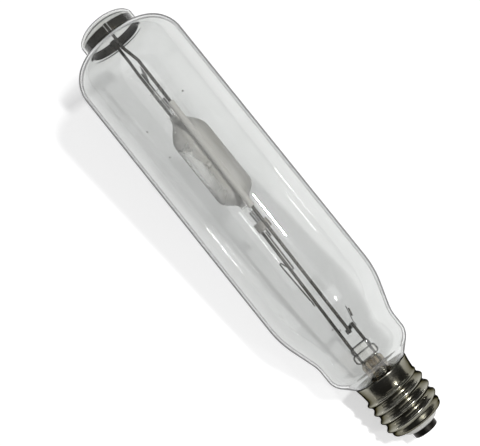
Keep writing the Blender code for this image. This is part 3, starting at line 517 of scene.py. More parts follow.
def run_tree(tree, base, finish, values, sharp=SHARP, place=None):
    """The plain mesh that a geometry tree makes from a base mesh."""
    source = add_object(base.name, base)
    modifier = source.modifiers.new(tree.name, "NODES")
    modifier.node_group = tree
    for item in tree.interface.items_tree:
        if item.item_type == "SOCKET" and item.in_out == "INPUT" and item.name != "Base":
            modifier[item.identifier] = finish if item.name == "Finish" else values[item.name]
    graph = bpy.context.evaluated_depsgraph_get()
    mesh = bpy.data.meshes.new_from_object(source.evaluated_get(graph), depsgraph=graph)
    bpy.data.objects.remove(source)
    shape = bmesh.new()
    shape.from_mesh(mesh)
    bmesh.ops.remove_doubles(shape, verts=shape.verts, dist=TOUCHING)
    if place is not None:
        shape.transform(place)
    bmesh.ops.recalc_face_normals(shape, faces=shape.faces)
    shape.to_mesh(mesh)
    shape.free()
    mesh.set_sharp_from_angle(angle=math.radians(sharp))
    mesh.name = base.name
    return mesh


def line_mesh(name, points, closed=False):
    """A mesh of edges alone, from point to point."""
    mesh = bpy.data.meshes.new(name)
    edges = [(i, i + 1) for i in range(len(points) - 1)]
    if closed:
        edges.append((len(points) - 1, 0))
    mesh.from_pydata([tuple(point) for point in points], edges, [])
    return mesh


def wire(name, corners, radius, solid):
    """A round wire or rod along the corners, each a point and the radius of its bend."""
    base = line_mesh(name, even(rounded(corners), WIRE_STEP))
    mesh = run_tree(WIRE, base, WIRE_METAL, {"Radius": radius, "Sides": WIRE_SIDES})
    show(name, mesh, WIRE_METAL, "wire_metal", solid)


def strip(name, path, width, sheet, finish, slot, solid, closed=False):
    """A strip on edge whose middle follows a level path."""
    base = line_mesh(name, path, closed)
    values = {"Sheet": sheet, "Width": width, "Edge": sheet * STRIP_EDGE}
    show(name, run_tree(STRIP, base, finish, values), finish, slot, solid)


# Finishes

BLACK = (0.0, 0.0, 0.0, 1.0)
UNSTRETCHED = (1.0, 1.0, 1.0)
MOST = (0.3, 0.7)  # what most values of a mottling lie between


def end_in_mix(tree, output, factor, first, second):
    """Ends a material's or the world's tree in a mix of two shaders."""
    both = node(
        tree, "ShaderNodeMixShader", {0: factor, 1: first.outputs[0], 2: second.outputs[0]}
    )
    tree.links.new(both.outputs[0], tree.nodes[output].inputs["Surface"])


class Finish:
    """A material built round one Principled shader, with the patterns that drive its sockets."""

    def __init__(self, name, metallic=0.0, **constants):
        self.material = bpy.data.materials.new(name)
        self.material.use_nodes = True
        self.tree = self.material.node_tree
        self.shader = self.tree.nodes["Principled BSDF"]
        self.set("Metallic", metallic)
        for socket, value in constants.items():
            self.set(socket.replace("_", " "), value)

    def set(self, socket, value):
        """Gives one of the shader's sockets a value, or links it to another socket."""
        if isinstance(value, bpy.types.NodeSocket):
            self.tree.links.new(value, self.shader.inputs[socket])
        else:
            self.shader.inputs[socket].default_value = value

    def place(self, stretch=UNSTRETCHED):
        """Object coordinates, stretched, for a pattern."""
        where = node(self.tree, "ShaderNodeTexCoord").outputs["Object"]
        inputs = {"Vector": where, "Scale": stretch}
        return node(self.tree, "ShaderNodeMapping", inputs).outputs["Vector"]

    def axes(self):
        """Object coordinates apart, as X, Y and Z."""
        where = node(self.tree, "ShaderNodeTexCoord").outputs["Object"]
        return node(self.tree, "ShaderNodeSeparateXYZ", {0: where}).outputs

    def noise(self, size, stretch=UNSTRETCHED, detail=3.0):
        """Soft mottling whose patches are about the given size."""
        inputs = {"Vector": self.place(stretch), "Scale": 1.0 / size}
        inputs.update({"Detail": detail, "Roughness": 0.55})
        return node(self.tree, "ShaderNodeTexNoise", inputs).outputs[0]

    def ragged(self, along, size, depth):
        """A coordinate pushed on by mottling, for an uneven edge."""
        return math_of(self.tree, "MULTIPLY_ADD", self.noise(size), depth, along)

    def specks(self, size, share):
        """Small spots in a share of the cells, 1 at their middles and 0 elsewhere."""
        inputs = {"Vector": self.place(), "Scale": 1.0 / size}
        cells = node(self.tree, "ShaderNodeTexVoronoi", inputs).outputs
        chance = node(self.tree, "ShaderNodeSeparateColor", {0: cells["Color"]}).outputs[0]
        few = self.span(chance, 1.0 - share, 1.0 - share + 0.001, 0.0, 1.0)
        spot = self.span(cells["Distance"], 0.02, 0.045, 1.0, 0.0)
        return math_of(self.tree, "MULTIPLY", few, spot)

    def span(self, value, low, high, to_low, to_high, kind="LINEAR"):
        """A value that runs from to_low to to_high while the given one runs from low to high."""
        inputs = {"Value": value, "From Min": low, "From Max": high}
        inputs.update({"To Min": to_low, "To Max": to_high})
        made = node(self.tree, "ShaderNodeMapRange", inputs, interpolation_type=kind, clamp=True)
        return made.outputs[0]

    def mix(self, factor, first, second):
        """A colour between two colours, each a tuple or a socket."""
        inputs = {0: factor}
        for socket, value in ((6, first), (7, second)):
            inputs[socket] = (*value, 1.0) if isinstance(value, tuple) else value
        return node(self.tree, "ShaderNodeMix", inputs, data_type="RGBA").outputs[2]

    def bump(self, height, depth, under=None):
        """Relief of the given depth."""
        inputs = {"Height": height, "Distance": depth, "Strength": 1.0}
        if under is not None:
            inputs["Normal"] = under
        return node(self.tree, "ShaderNodeBump", inputs).outputs[0]

    def edge(self, low, high):
        """One where the eye looks along the glass's wall, nothing where it looks through."""
        facing = node(self.tree, "ShaderNodeLayerWeight", {"Blend": 0.5}).outputs["Facing"]
        return self.span(facing, low, high, 0.0, 1.0, "SMOOTHSTEP")

    def rim(self, clean, low, high, dark):
        """The colour of glass, with a painted dark rim where the eye looks along its wall."""
        return self.mix(self.edge(low, high), clean, dark)

    def let_lamps_through(self, tint):
        """Lamps' rays go straight through the glass, so that it casts a light shadow."""
        path = node(self.tree, "ShaderNodeLightPath").outputs
        clear = node(self.tree, "ShaderNodeBsdfTransparent", {"Color": (*tint, 1.0)})
        passing = math_of(self.tree, "MAXIMUM", path["Is Shadow Ray"], path["Is Diffuse Ray"])
        end_in_mix(self.tree, "Material Output", passing, self.shader, clear)


def mottled(name, mottle, dark, light, roughness, relief, depth, **constants):
    """A finish whose colour and gloss follow one pattern, and whose relief follows another.

    Each pattern is the size of its patches, how they are stretched, and their detail.
    """
    look = Finish(name, **constants)
    pattern = look.noise(*mottle)
    look.set("Base Color", look.mix(pattern, dark, light))
    look.set("Roughness", look.span(pattern, *MOST, *roughness))
    look.set("Normal", look.bump(look.noise(*relief), depth))
    return look.material


def bulb_glass():
    """Blown glass: drawn waves along the tube, a light film, a few dark specks, and a painted dark
    rim where the eye looks along its wall.
    """
    look = Finish("bulb_glass", Transmission_Weight=1.0, IOR=1.5)
    waves = look.noise(45 * MM, (1.0, 1.0, 0.25), 0.0)
    fine = look.noise(12 * MM, (1.0, 1.0, 0.4), 0.0)
    look.set("Normal", look.bump(fine, 0.008 * MM, look.bump(waves, 0.10 * MM)))
    film = look.noise(30 * MM)
    look.set("Roughness", look.span(film, 0.45, 0.75, 0.0, 0.012))
    tube = look.mix(film, (0.775, 0.785, 0.775), (0.85, 0.855, 0.85))
    crown = TUBE_TOP + SHOULDER_RADIUS
    drawn = look.span(look.axes()["Z"], crown - 4 * MM, crown + 1 * MM, 0.0, 1.0)
    clean = look.mix(drawn, tube, (0.70, 0.705, 0.69))
    edge = look.edge(0.72, 0.83)
    # Painted dark rim: the glass's colour goes near black where the eye looks along its wall, as
    # painted shade.
    painted_dark_rim = look.mix(edge, clean, (0.01, 0.01, 0.009))
    look.set("Base Color", look.mix(look.specks(20 * MM, 0.4), painted_dark_rim, (0.12, 0.11, 0.10)))
    # The IOR falls on the same painted dark rim, so that no reflection lightens it.
    look.set("IOR", look.span(edge, 0.0, 1.0, 1.5, 1.1))
    look.let_lamps_through((0.83, 0.83, 0.83))
    return look.material


def stem_glass():
    """Softer lead glass, faintly brown, with pull lines round it, smoked below the press, and a
    painted dark rim where the eye looks along its wall.
    """
    look = Finish("stem_glass", Transmission_Weight=1.0, IOR=1.56)
    rings = look.noise(1.6 * MM, (0.15, 0.15, 1.0), 2.0)
    lumps = look.noise(4 * MM)
    look.set("Normal", look.bump(rings, 0.08 * MM, look.bump(lumps, 0.4 * MM)))
    clear = look.mix(look.noise(5 * MM), (0.80, 0.78, 0.74), (0.95, 0.945, 0.93))
    smoked = look.mix(look.noise(2 * MM), (0.50, 0.44, 0.35), (0.86, 0.81, 0.72))
    low = look.span(look.axes()["Z"], PRESS_BOTTOM - 1 * MM, PRESS_BOTTOM + 1 * MM, 0.0, 1.0)
    # Painted dark rims, near black above the press and dark brown below it, where the eye looks
    # along the wall: painted shade.
    upper = look.rim(clear, 0.06, 0.24, (0.01, 0.009, 0.007))
    lower = look.rim(smoked, 0.30, 0.70, (0.30, 0.24, 0.17))
    look.set("Base Color", look.mix(low, lower, upper))
    look.set("Roughness", look.span(lumps, 0.4, 0.8, 0.0, 0.06))
    look.let_lamps_through((0.88, 0.86, 0.83))
    return look.material


def coated_quartz():
    """Clear quartz with a rough white coat burnt on, whose edges are uneven.

    The coat covers the upper end and the right side, lies thinner on the lower end, and leaves
    both pinches bare.
    """
    look = Finish("coated_quartz", IOR=1.46)
    axes = look.axes()
    side = look.ragged(axes["X"], 8 * MM, 10 * MM)
    covered = look.span(side, -1.2 * MM, 1.8 * MM, 0.0, 1.0, "SMOOTHSTEP")
    top_edge = look.ragged(axes["Z"], 7 * MM, 9 * MM)
    above = look.span(
        top_edge, LIGHT_CENTRE + 18 * MM, LIGHT_CENTRE + 27 * MM, 0.0, 1.0, "SMOOTHSTEP"
    )
    upper = math_of(look.tree, "MAXIMUM", covered, above)
    milk_edge = look.ragged(axes["Z"], 9 * MM, 14 * MM)
    milk = look.span(
        milk_edge, LIGHT_CENTRE - 22 * MM, LIGHT_CENTRE + 8 * MM, 0.75, 0.0, "SMOOTHSTEP"
    )
    pinch_top = ARC[1].z - PINCH_LENGTH
    pinch_foot = ARC[0].z + PINCH_LENGTH
    bare_top = look.span(axes["Z"], pinch_top, pinch_top + 3 * MM, 1.0, 0.0)
    bare_foot = look.span(axes["Z"], pinch_foot - 3 * MM, pinch_foot, 0.0, 1.0)
    top = math_of(look.tree, "MULTIPLY", upper, bare_top)
    foot = math_of(look.tree, "MULTIPLY", milk, bare_foot)
    coat = math_of(look.tree, "MAXIMUM", top, foot)
    coat = math_of(look.tree, "MULTIPLY", coat, bare_foot)
    streaks = look.span(look.noise(6 * MM, (1.0, 1.0, 0.2)), *MOST, 0.0, 1.0)
    patches = look.mix(streaks, (0.74, 0.725, 0.66), (0.97, 0.96, 0.93))
    # The bare quartz gets a painted dark rim where the eye looks along its wall, as painted shade.
    bare = look.rim((0.90, 0.90, 0.89), 0.55, 0.80, (0.12, 0.12, 0.11))
    look.set("Base Color", look.mix(coat, bare, patches))
    look.set("Transmission Weight", look.span(coat, 0.0, 1.0, 1.0, 0.40))
    look.set("Roughness", look.span(coat, 0.0, 1.0, 0.02, 0.4))
    grain = look.bump(look.noise(0.8 * MM), 0.05 * MM)
    look.set("Normal", look.bump(look.noise(12 * MM), 0.3 * MM, grain))
    look.let_lamps_through((0.75, 0.75, 0.75))
    return look.material


def plated_sheet():
    """Nickel plate on rolled sheet: fine lines round it, a brown tarnish in the roots, and a black
    edge tint that paints dark shade along its edges.
    """
    # Black edge tint: painted shade along the sheet's edges.
    look = Finish("plated_sheet", 1.0, Specular_Tint=BLACK)
    lines = look.noise(0.35 * MM, (0.04, 0.04, 1.0), 2.0)
    stains = look.noise(7 * MM, detail=5.0)
    clean = look.mix(stains, (0.27, 0.265, 0.215), (0.46, 0.45, 0.40))
    axes = look.axes()
    across = math_of(look.tree, "POWER", axes["X"], 2.0)
    deep = math_of(look.tree, "POWER", axes["Y"], 2.0)
    radius = math_of(look.tree, "SQRT", math_of(look.tree, "ADD", across, deep))
    root = look.span(radius, THREAD_ROOT, THREAD_ROOT + THREAD_DEPTH, 0.7, 0.0)
    look.set("Base Color", look.mix(root, clean, (0.11, 0.10, 0.065)))
    look.set("Roughness", look.span(stains, 0.3, 0.75, 0.13, 0.31))
    look.set("Normal", look.bump(lines, 0.012 * MM, look.bump(look.noise(5 * MM), 0.12 * MM)))
    return look.material


def dark_contact():
    """Metal button, its colour painted near black as painted shade, streaked and pitted."""
    return mottled(
        "dark_contact", (1.2 * MM, (1.0, 1.0, 0.2), 4.0),
        # Near-black colours: painted shade, not the button's own colour.
        (0.006, 0.0055, 0.005), (0.045, 0.041, 0.037), (0.28, 0.5),
        (0.9 * MM,), 0.05 * MM, metallic=1.0,
    )


def glazed_ceramic():
    """Pale glaze with a crazed tint and a few pits."""
    look = Finish("glazed_ceramic", IOR=1.5, Coat_Weight=0.4)
    mottle = look.noise(2.5 * MM, detail=5.0)
    clean = look.mix(mottle, (0.55, 0.54, 0.50), (0.74, 0.73, 0.69))
    look.set("Base Color", look.mix(look.specks(2.2 * MM, 0.3), clean, (0.30, 0.27, 0.22)))
    look.set("Roughness", look.span(mottle, *MOST, 0.18, 0.42))
    look.set("Normal", look.bump(look.noise(1.5 * MM), 0.04 * MM))
    return look.material


def cement():
    """Gritty brown basing cement."""
    grit = (0.9 * MM, UNSTRETCHED, 6.0)
    return mottled(
        "cement", grit, (0.28, 0.23, 0.16), (0.55, 0.47, 0.35), (0.8, 0.98), grit, 0.2 * MM
    )


def wire_metal():
    """Drawn nickel wire: lines along it, and a grey oxide in patches. Its colour is painted near
    black as a painted dark reflection, and a black edge tint paints its edges darker still.
    """
    return mottled(
        "wire_metal", (6 * MM, UNSTRETCHED, 4.0),
        # Near-black colours: a painted dark reflection, not the nickel's own colour; the black edge
        # tint below is painted shade along the edges.
        (0.012, 0.011, 0.009), (0.075, 0.071, 0.064), (0.34, 0.2),
        (0.3 * MM, (1.0, 1.0, 0.05), 2.0), 0.02 * MM, metallic=1.0, Specular_Tint=BLACK,
    )


def clamp_metal():
    """Soft nickel strip, annealed and dull, paler than the wire, whose own colour is painted near
    black.
    """
    return mottled(
        "clamp_metal", (2 * MM, UNSTRETCHED, 4.0),
        (0.06, 0.057, 0.052), (0.30, 0.29, 0.27), (0.38, 0.6),
        (0.8 * MM,), 0.05 * MM, metallic=1.0,
    )


def dark_strip():
    """Rolled spring strip, dark, with rolling lines and lighter rubbed spots."""
    return mottled(
        "dark_strip", (4 * MM, UNSTRETCHED, 4.0),
        (0.006, 0.005, 0.004), (0.045, 0.041, 0.033), (0.42, 0.26),
        (0.4 * MM, (0.06, 0.06, 1.0), 2.0), 0.02 * MM, metallic=1.0,
    )


def white_sleeve():
    """Fired white ceramic, chalky, with faint pull marks and grey handling marks."""
    return mottled(
        "white_sleeve", (5 * MM, (1.0, 1.0, 0.3), 4.0),
        (0.72, 0.70, 0.63), (0.90, 0.89, 0.85), (0.5, 0.75), (0.5 * MM,), 0.02 * MM,
    )


def getter_metal():
    """Sintered getter: dark and granular."""
    grain = (0.35 * MM, UNSTRETCHED, 5.0)
    return mottled(
        "getter_metal", grain, (0.06, 0.055, 0.05), (0.22, 0.21, 0.19), (0.5, 0.75),
        grain, 0.08 * MM, metallic=1.0,
    )


def tungsten():
    """Grey drawn tungsten with a fine matt skin."""
    skin = (0.6 * MM, UNSTRETCHED, 4.0)
    return mottled(
        "tungsten", skin, (0.22, 0.22, 0.23), (0.42, 0.42, 0.43), (0.34, 0.5),
        skin, 0.02 * MM, metallic=1.0,
    )


def molybdenum():
    """Thin etched foil, dark, with paler patches."""
    return mottled(
        "molybdenum", (2 * MM,), (0.004, 0.004, 0.003), (0.022, 0.020, 0.017), (0.3, 0.5),
        (0.5 * MM,), 0.03 * MM, metallic=1.0,
    )


def copper_wire():
    """Soft copper, browned in patches."""
    return mottled(
        "copper_wire", (3 * MM, UNSTRETCHED, 4.0),
        (0.07, 0.042, 0.028), (0.18, 0.11, 0.075), (0.45, 0.25),
        (0.4 * MM,), 0.015 * MM, metallic=1.0,
    )


BULB_GLASS = bulb_glass()
STEM_GLASS = stem_glass()
QUARTZ = coated_quartz()
PLATED_SHEET = plated_sheet()
DARK_CONTACT = dark_contact()
GLAZED_CERAMIC = glazed_ceramic()
CEMENT_LOOK = cement()
WIRE_METAL = wire_metal()
CLAMP_METAL = clamp_metal()
DARK_STRIP = dark_strip()
WHITE_SLEEVE = white_sleeve()
GETTER_METAL = getter_metal()
TUNGSTEN = tungsten()
MOLYBDENUM = molybdenum()
COPPER_WIRE = copper_wire()


# Glass


def outer_bulb():
    """The blown bulb from the tip of its dome down to the end of its neck."""
    dome_foot = TUBE_TOP + math.sqrt(
        (SHOULDER_RADIUS + DOME_FILLET) ** 2 - (DOME_RADIUS + DOME_FILLET - SHOULDER_CENTRE) ** 2
    )
    crown = arc(on_section(0, CROWN_Z), DOME_RADIUS, DOME_CROWN, 90, 0, 20)
    fillet_centre = on_section(DOME_RADIUS + DOME_FILLET, dome_foot)
    shoulder_centre = on_section(SHOULDER_CENTRE, TUBE_TOP)
    between = fillet_centre - shoulder_centre
    meeting = math.degrees(math.atan2(between.z, between.x))
    fillet = arc(fillet_centre, DOME_FILLET, DOME_FILLET, 180, 180 + meeting, 8)
    shoulder = arc(shoulder_centre, SHOULDER_RADIUS, SHOULDER_RADIUS, meeting, 0, 18)
    foot = rounded([
        (on_section(TUBE_RADIUS, TUBE_TOP), 0),
        (on_section(TUBE_RADIUS, TUBE_BOTTOM), TAPER_FILLET),
        (on_section(BULGE_RADIUS, BULGE_TOP), WAIST_FILLET),
        (on_section(BULGE_RADIUS, BULGE_BOTTOM), BULGE_FILLET),
        (on_section(NECK_RADIUS, NECK_TOP), NECK_FILLET),
        (on_section(NECK_RADIUS, NECK_END), 0),
    ], math.radians(3.0))
    outline = crown + fillet + shoulder[1:] + foot[1:]
    mesh = turned("bulb", outline, 128)
    with_wall(show("bulb", mesh, BULB_GLASS, "bulb_glass", "outer_bulb"), GLASS_WALL)


def soft_block(name, size, middle, edge):
    """A box with well rounded edges."""

    def build(shape):
        bmesh.ops.create_cube(shape, size=1.0, matrix=Matrix.Diagonal((*size, 1.0)))
        bmesh.ops.bevel(
            shape, geom=list(shape.edges), offset=edge, segments=5, profile=0.5, affect="EDGES"
        )
        bmesh.ops.translate(shape, verts=shape.verts, vec=middle)

    return add_object(name, mesh_from(name, build))


def upright_pin(name, x, radius, low, high):
    """A plain round pin, for cutting a hole."""
    corners = ((0, high), (radius, high), (radius, low), (0, low))
    mesh = turned(name, [on_section(*corner) for corner in corners], 24)
    mesh.transform(Matrix.Translation((x, 0, 0)))
    return add_object(name, mesh)


def combined(base, others):
    """The plain mesh of base with each other shape joined to it or cut from it."""
    for other, operation in others:
        modifier = base.modifiers.new(other.name, "BOOLEAN")
        modifier.operation = operation
        modifier.object = other
        modifier.solver = "EXACT"
    graph = bpy.context.evaluated_depsgraph_get()
    mesh = bpy.data.meshes.new_from_object(base.evaluated_get(graph), depsgraph=graph)
    for obj in [base] + [other for other, _ in others]:
        bpy.data.objects.remove(obj)
    mesh.shade_smooth()
    mesh.set_sharp_from_angle(angle=math.radians(SHARP))
    return mesh


def stem():
    """The flare and tube, closed by the press and head that hold the lead-in rods."""
    roof_z = PRESS_BOTTOM + ROOF_LAP - STEM_ROOF
    mouth = NECK_RADIUS - GLASS_WALL - 2 * SEAT_GAP
    outline = arc(on_section(0, roof_z), STEM_RADIUS, STEM_ROOF, 90, 0, 12)
    outline += arc(on_section(mouth, STEM_FOOT), mouth - STEM_RADIUS, FLARE_HEIGHT, 180, 270, 16)
    outline.append(on_section(NECK_RADIUS, STEM[0].z))
    tube = add_object("stem", turned("stem", outline, 64))
    with_wall(tube, STEM_WALL)
    press_size = PRESS_SIZE + at(0, 0, FUSED_LAP)
    head_size = HEAD_SIZE + at(2 * FUSED_LAP, 0, FUSED_LAP)
    press = soft_block("press", press_size, at(0, 0, PRESS_BOTTOM + press_size.z / 2), PRESS_EDGE)
    head = soft_block("head", head_size, at(0, 0, HEAD_TOP - head_size.z / 2), HEAD_EDGE)
    joined = [(press, "UNION"), (head, "UNION")]
    bore = LEAD_RADIUS + HOLE_CLEARANCE
    for side, x in (("left", -LEAD_X), ("right", LEAD_X)):
        pin = upright_pin(f"{side}_hole", x, bore, STEM_FOOT, HEAD_TOP + HOLE_PAST)
        joined.append((pin, "DIFFERENCE"))
    show("stem", combined(tube, joined), STEM_GLASS, "stem_glass", "stem_glass")


def exhaust_tube():
    """The narrow tube inside the stem, open at its upper end and sealed at its tip."""
    low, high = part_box("exhaust_tube")
    inner = EXHAUST_RADIUS - EXHAUST_WALL
    tip = low.z + EXHAUST_WALL / 2
    outline = [
        on_section(inner, high.z),
        on_section(EXHAUST_RADIUS, high.z),
        on_section(EXHAUST_RADIUS, tip + 2 * EXHAUST_RADIUS),
        on_section(EXHAUST_RADIUS * EXHAUST_TAPER, tip + EXHAUST_RADIUS),
        on_section(EXHAUST_WALL, tip),
        on_section(0, low.z),
        on_section(0, tip + 2 * EXHAUST_WALL),
        on_section(inner, tip + 2 * EXHAUST_RADIUS + EXHAUST_WALL),
    ]
    mesh = turned("exhaust", outline, 32, closed=True)
    show("exhaust", mesh, STEM_GLASS, "stem_glass", "exhaust_tube")


def flatten(distance, shoulder):
    """How far the arc tube has turned into its pinch, from 0 to 1, at a height off its middle."""
    share = max(0.0, min(1.0, (distance - ARC_STRAIGHT / 2) / shoulder))
    return 0.5 - 0.5 * math.cos(math.pi * share**PINCH_CURVE)


def exhaust_pip():
    """The sealed stub of the arc tube's own exhaust tube, on its near side."""
    outline = arc(on_section(0, 0), PIP_RADIUS, PIP_HEIGHT, 90, 0, 10)
    outline += [on_section(PIP_RADIUS * PIP_FOOT, -PIP_SINK), on_section(0, -PIP_SINK)]
    mesh = turned("pip", outline, 32)
    lean = math.asin(PIP_X / ARC_RADIUS)
    foot = at(ARC_RADIUS * math.sin(lean), -ARC_RADIUS * math.cos(lean), LIGHT_CENTRE)
    outwards = Matrix.Rotation(lean, 4, "Z") @ Matrix.Rotation(math.pi / 2, 4, "X")
    mesh.transform(Matrix.Translation(foot) @ outwards)
    return add_object("pip", mesh)


def arc_tube():
    """Quartz blown round in the middle and pinched flat at both ends, with its hollow chamber."""
    stations = []
    for way, shoulder in ((1, UPPER_SHOULDER), (-1, LOWER_SHOULDER)):
        pinch = ARC_STRAIGHT / 2 + shoulder
        side = []
        for i in range(PINCH_ROWS, 0, -1):
            side.append((way * (pinch + PINCH_LENGTH * i / PINCH_ROWS), 1.0))
        for i in range(SHOULDER_ROWS, -1, -1):
            distance = ARC_STRAIGHT / 2 + shoulder * i / SHOULDER_ROWS
            side.append((way * distance, flatten(distance, shoulder)))
        stations += side if way > 0 else side[::-1]

    def build(shape):
        rings = []
        for distance, flat in stations:
            half_x = ARC_RADIUS + (PINCH_WIDTH / 2 - ARC_RADIUS) * flat
            half_y = ARC_RADIUS + (PINCH_THICKNESS / 2 - ARC_RADIUS) * flat
            power = 1.0 / (1.0 + PINCH_SQUARE * flat**3)
            ring = []
            for j in range(ARC_COLUMNS):
                angle = 2 * math.pi * (j + 0.5) / ARC_COLUMNS
                x = math.copysign(abs(math.cos(angle)) ** power, math.cos(angle)) * half_x
                y = math.copysign(abs(math.sin(angle)) ** power, math.sin(angle)) * half_y
                ring.append(shape.verts.new((x, y, LIGHT_CENTRE + distance)))
            rings.append(ring)
        for upper, lower in zip(rings, rings[1:]):
            for j in range(ARC_COLUMNS):
                k = (j + 1) % ARC_COLUMNS
                shape.faces.new((upper[j], lower[j], lower[k], upper[k]))
        shape.faces.new(rings[0])
        shape.faces.new(rings[-1][::-1])

    inner = ARC_RADIUS - ARC_WALL
    top = on_section(0, LIGHT_CENTRE + ARC_STRAIGHT / 2)
    bottom = on_section(0, LIGHT_CENTRE - ARC_STRAIGHT / 2)
    hollow = arc(top, inner, UPPER_SHOULDER * CHAMBER_SHARE, 90, 0, 20)
    hollow += arc(bottom, inner, LOWER_SHOULDER * CHAMBER_SHARE, 0, -90, 20)
    chamber = add_object("chamber", turned("chamber", hollow, ARC_COLUMNS))
    body = add_object("arc_tube_quartz", mesh_from("arc_tube_quartz", build, 50.0))
    bore = SHANK_RADIUS + SHANK_CLEARANCE
    pin = upright_pin("bore", 0, bore, ARC[0].z - BORE_PAST, ARC[1].z + BORE_PAST)
    cuts = [(exhaust_pip(), "UNION"), (chamber, "DIFFERENCE"), (pin, "DIFFERENCE")]
    for name in ("upper_foil", "lower_foil"):
        low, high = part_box(name)
        size = high - low + at(FOIL_ROOM, FOIL_ROOM, FOIL_ROOM)
        room = soft_block(f"{name}_room", size, (low + high) / 2, FOIL_ROOM_EDGE)
        cuts.append((room, "DIFFERENCE"))
    show("arc_tube_quartz", combined(body, cuts), QUARTZ, "quartz", "arc_tube")


# Cap


def cap_shell():
    """A drawn cup of plated sheet, with the thread rolled into its side."""
    collar = []
    for i in range(COLLAR_ROWS, 0, -1):
        flare = COLLAR_FLARE * (i / COLLAR_ROWS) ** COLLAR_CURVE
        height = THREAD_TOP + COLLAR_HEIGHT * i / COLLAR_ROWS
        collar.append(on_section(THREAD_ROOT + flare, height))
    rows = THREAD_TURNS * THREAD_ROWS
    side = [
        on_section(THREAD_ROOT, THREAD_TOP - (THREAD_TOP - THREAD_BOTTOM) * i / rows)
        for i in range(rows)
    ]
    foot = rounded([
        (on_section(THREAD_ROOT, THREAD_BOTTOM), 0),
        (on_section(THREAD_ROOT, LIP_Z), FOOT_BEND),
        (on_section(SHELL_LIP_RADIUS, LIP_Z), 0),
    ], math.radians(8.0))
    cup = turned("shell", collar + side + foot, SHELL_COLUMNS, sharp=180.0)
    values = {"Pitch": THREAD_PITCH, "Depth": THREAD_DEPTH, "Foot": THREAD_BOTTOM,
              "Top": THREAD_TOP, "Fade": THREAD_FADE}
    mesh = run_tree(THREAD, cup, PLATED_SHEET, values, 60.0)
    with_wall(show("shell", mesh, PLATED_SHEET, "plated_sheet", "cap_shell"), SHELL_SHEET)


def cap_insulator():
    """The glazed cone, whose back lies inside the shell's lip."""
    low, high = INSULATOR
    inside = high.x
    rest = LIP_Z + SHELL_SHEET + SEAT_GAP
    neck = SHELL_LIP_RADIUS - SEAT_GAP
    foot = CONTACT_RADIUS + SEAT_GAP
    cone = LIP_Z - low.z
    belly = on_section((neck + foot) / 2 + INSULATOR_SWELL, low.z + cone / 4)
    corners = [
        (on_section(INSULATOR_HOLE, high.z), 0),
        (on_section(inside, high.z), INSULATOR_EDGE),
        (on_section(inside, rest + SHELL_CORNER), 2 * INSULATOR_EDGE),
        (on_section(inside - SHELL_CORNER, rest), INSULATOR_EDGE),
        (on_section(neck, rest), NECK_EDGE),
        (on_section(neck, LIP_Z), 0),
        (belly, INSULATOR_FILLET),
        (on_section(foot, low.z), 0),
        (on_section(INSULATOR_HOLE, low.z), 0),
    ]
    mesh = turned("insulator", rounded(corners), 96, closed=True)
    show("insulator", mesh, GLAZED_CERAMIC, "glazed_ceramic", "cap_insulator")


def centre_contact():
    """The hollow button at the lamp's end."""
    height = CONTACT[1].z
    inner = CONTACT_RADIUS - CONTACT_SHEET
    corners = [
        (on_section(inner, height), 0),
        (on_section(CONTACT_RADIUS, height), CONTACT_RIM),
        (on_section(CONTACT_RADIUS, 0), CONTACT_EDGE),
        (on_section(0, 0), 0),
        (on_section(0, CONTACT_SHEET), 0),
        (on_section(inner, CONTACT_SHEET), CONTACT_HOLLOW),
        (on_section(inner, height), 0),
    ]
    mesh = turned("contact", rounded(corners), 72)
    show("contact", mesh, DARK_CONTACT, "dark_contact", "centre_contact")


def basing_cement():
    """The ring of cement between the neck and the shell."""
    low, high = CEMENT
    inner = NECK_RADIUS + SEAT_GAP
    outer = high.x
    corners = [
        (on_section(inner, high.z), 0),
        (on_section(outer, high.z), CEMENT_EDGE),
        (on_section(outer, low.z), CEMENT_EDGE),
        (on_section(inner, low.z), 0),
    ]
    mesh = turned("cement_ring", rounded(corners), 72, closed=True)
    show("cement_ring", mesh, CEMENT_LOOK, "cement", "basing_cement")


# Frame, leads and small pieces


def frame_and_leads():
    """The rods of the frame and the lead-in rods, bent as their solids are."""
    foot = at(ROD_FOOT_X, -ROD_REACH, CROSS[0].z)
    bend = SPRING_MIDDLE - ROD_SHOULDER_DROP
    shoulder = at(ROD_SHOULDER_X, -ROD_REACH, bend)
    wire("near_rod", [
        (foot, 0),
        (shoulder, ROD_BEND),
        (at(RING_ROD_X, -RING_ROD_Y, bend + ROD_JOG), ROD_BEND),
        (at(RING_ROD_X, -RING_ROD_Y, NEAR_ROD[1].z), 0),
    ], ROD_RADIUS, "near_support_rod")
    wire("far_rod", [
        (at(FAR_ROD_X, ROD_REACH, FAR_ROD[0].z), 0),
        (at(FAR_ROD_X, ROD_REACH, bend), ROD_BEND),
        (at(-RING_ROD_X, RING_ROD_Y, bend + ROD_JOG), ROD_BEND),
        (at(-RING_ROD_X, RING_ROD_Y, FAR_ROD[1].z), 0),
    ], ROD_RADIUS, "far_support_rod")
    left_foot = at(-LEAD_X, 0, HEAD_TOP + LEFT_LEAD_BEND)
    left_top = at(
        LEAD_RADIUS - PINCH_WIDTH / 2, LEFT_LEAD[1].y - LEAD_RADIUS, CLAMP[0].z - LEFT_LEAD_TURN
    )
    wire("left_lead", [
        (at(-LEAD_X, 0, LEFT_LEAD[0].z), 0),
        (left_foot, ROD_BEND),
        (left_top, ROD_BEND),
        (at(left_top.x, left_top.y, LEFT_LEAD[1].z), 0),
    ], LEAD_RADIUS, "lead_in_left")
    right = [(at(LEAD_X, 0, corner.z), 0) for corner in RIGHT_LEAD]
    wire("right_lead", right, LEAD_RADIUS, "lead_in_right")
    return foot, shoulder, left_foot, left_top


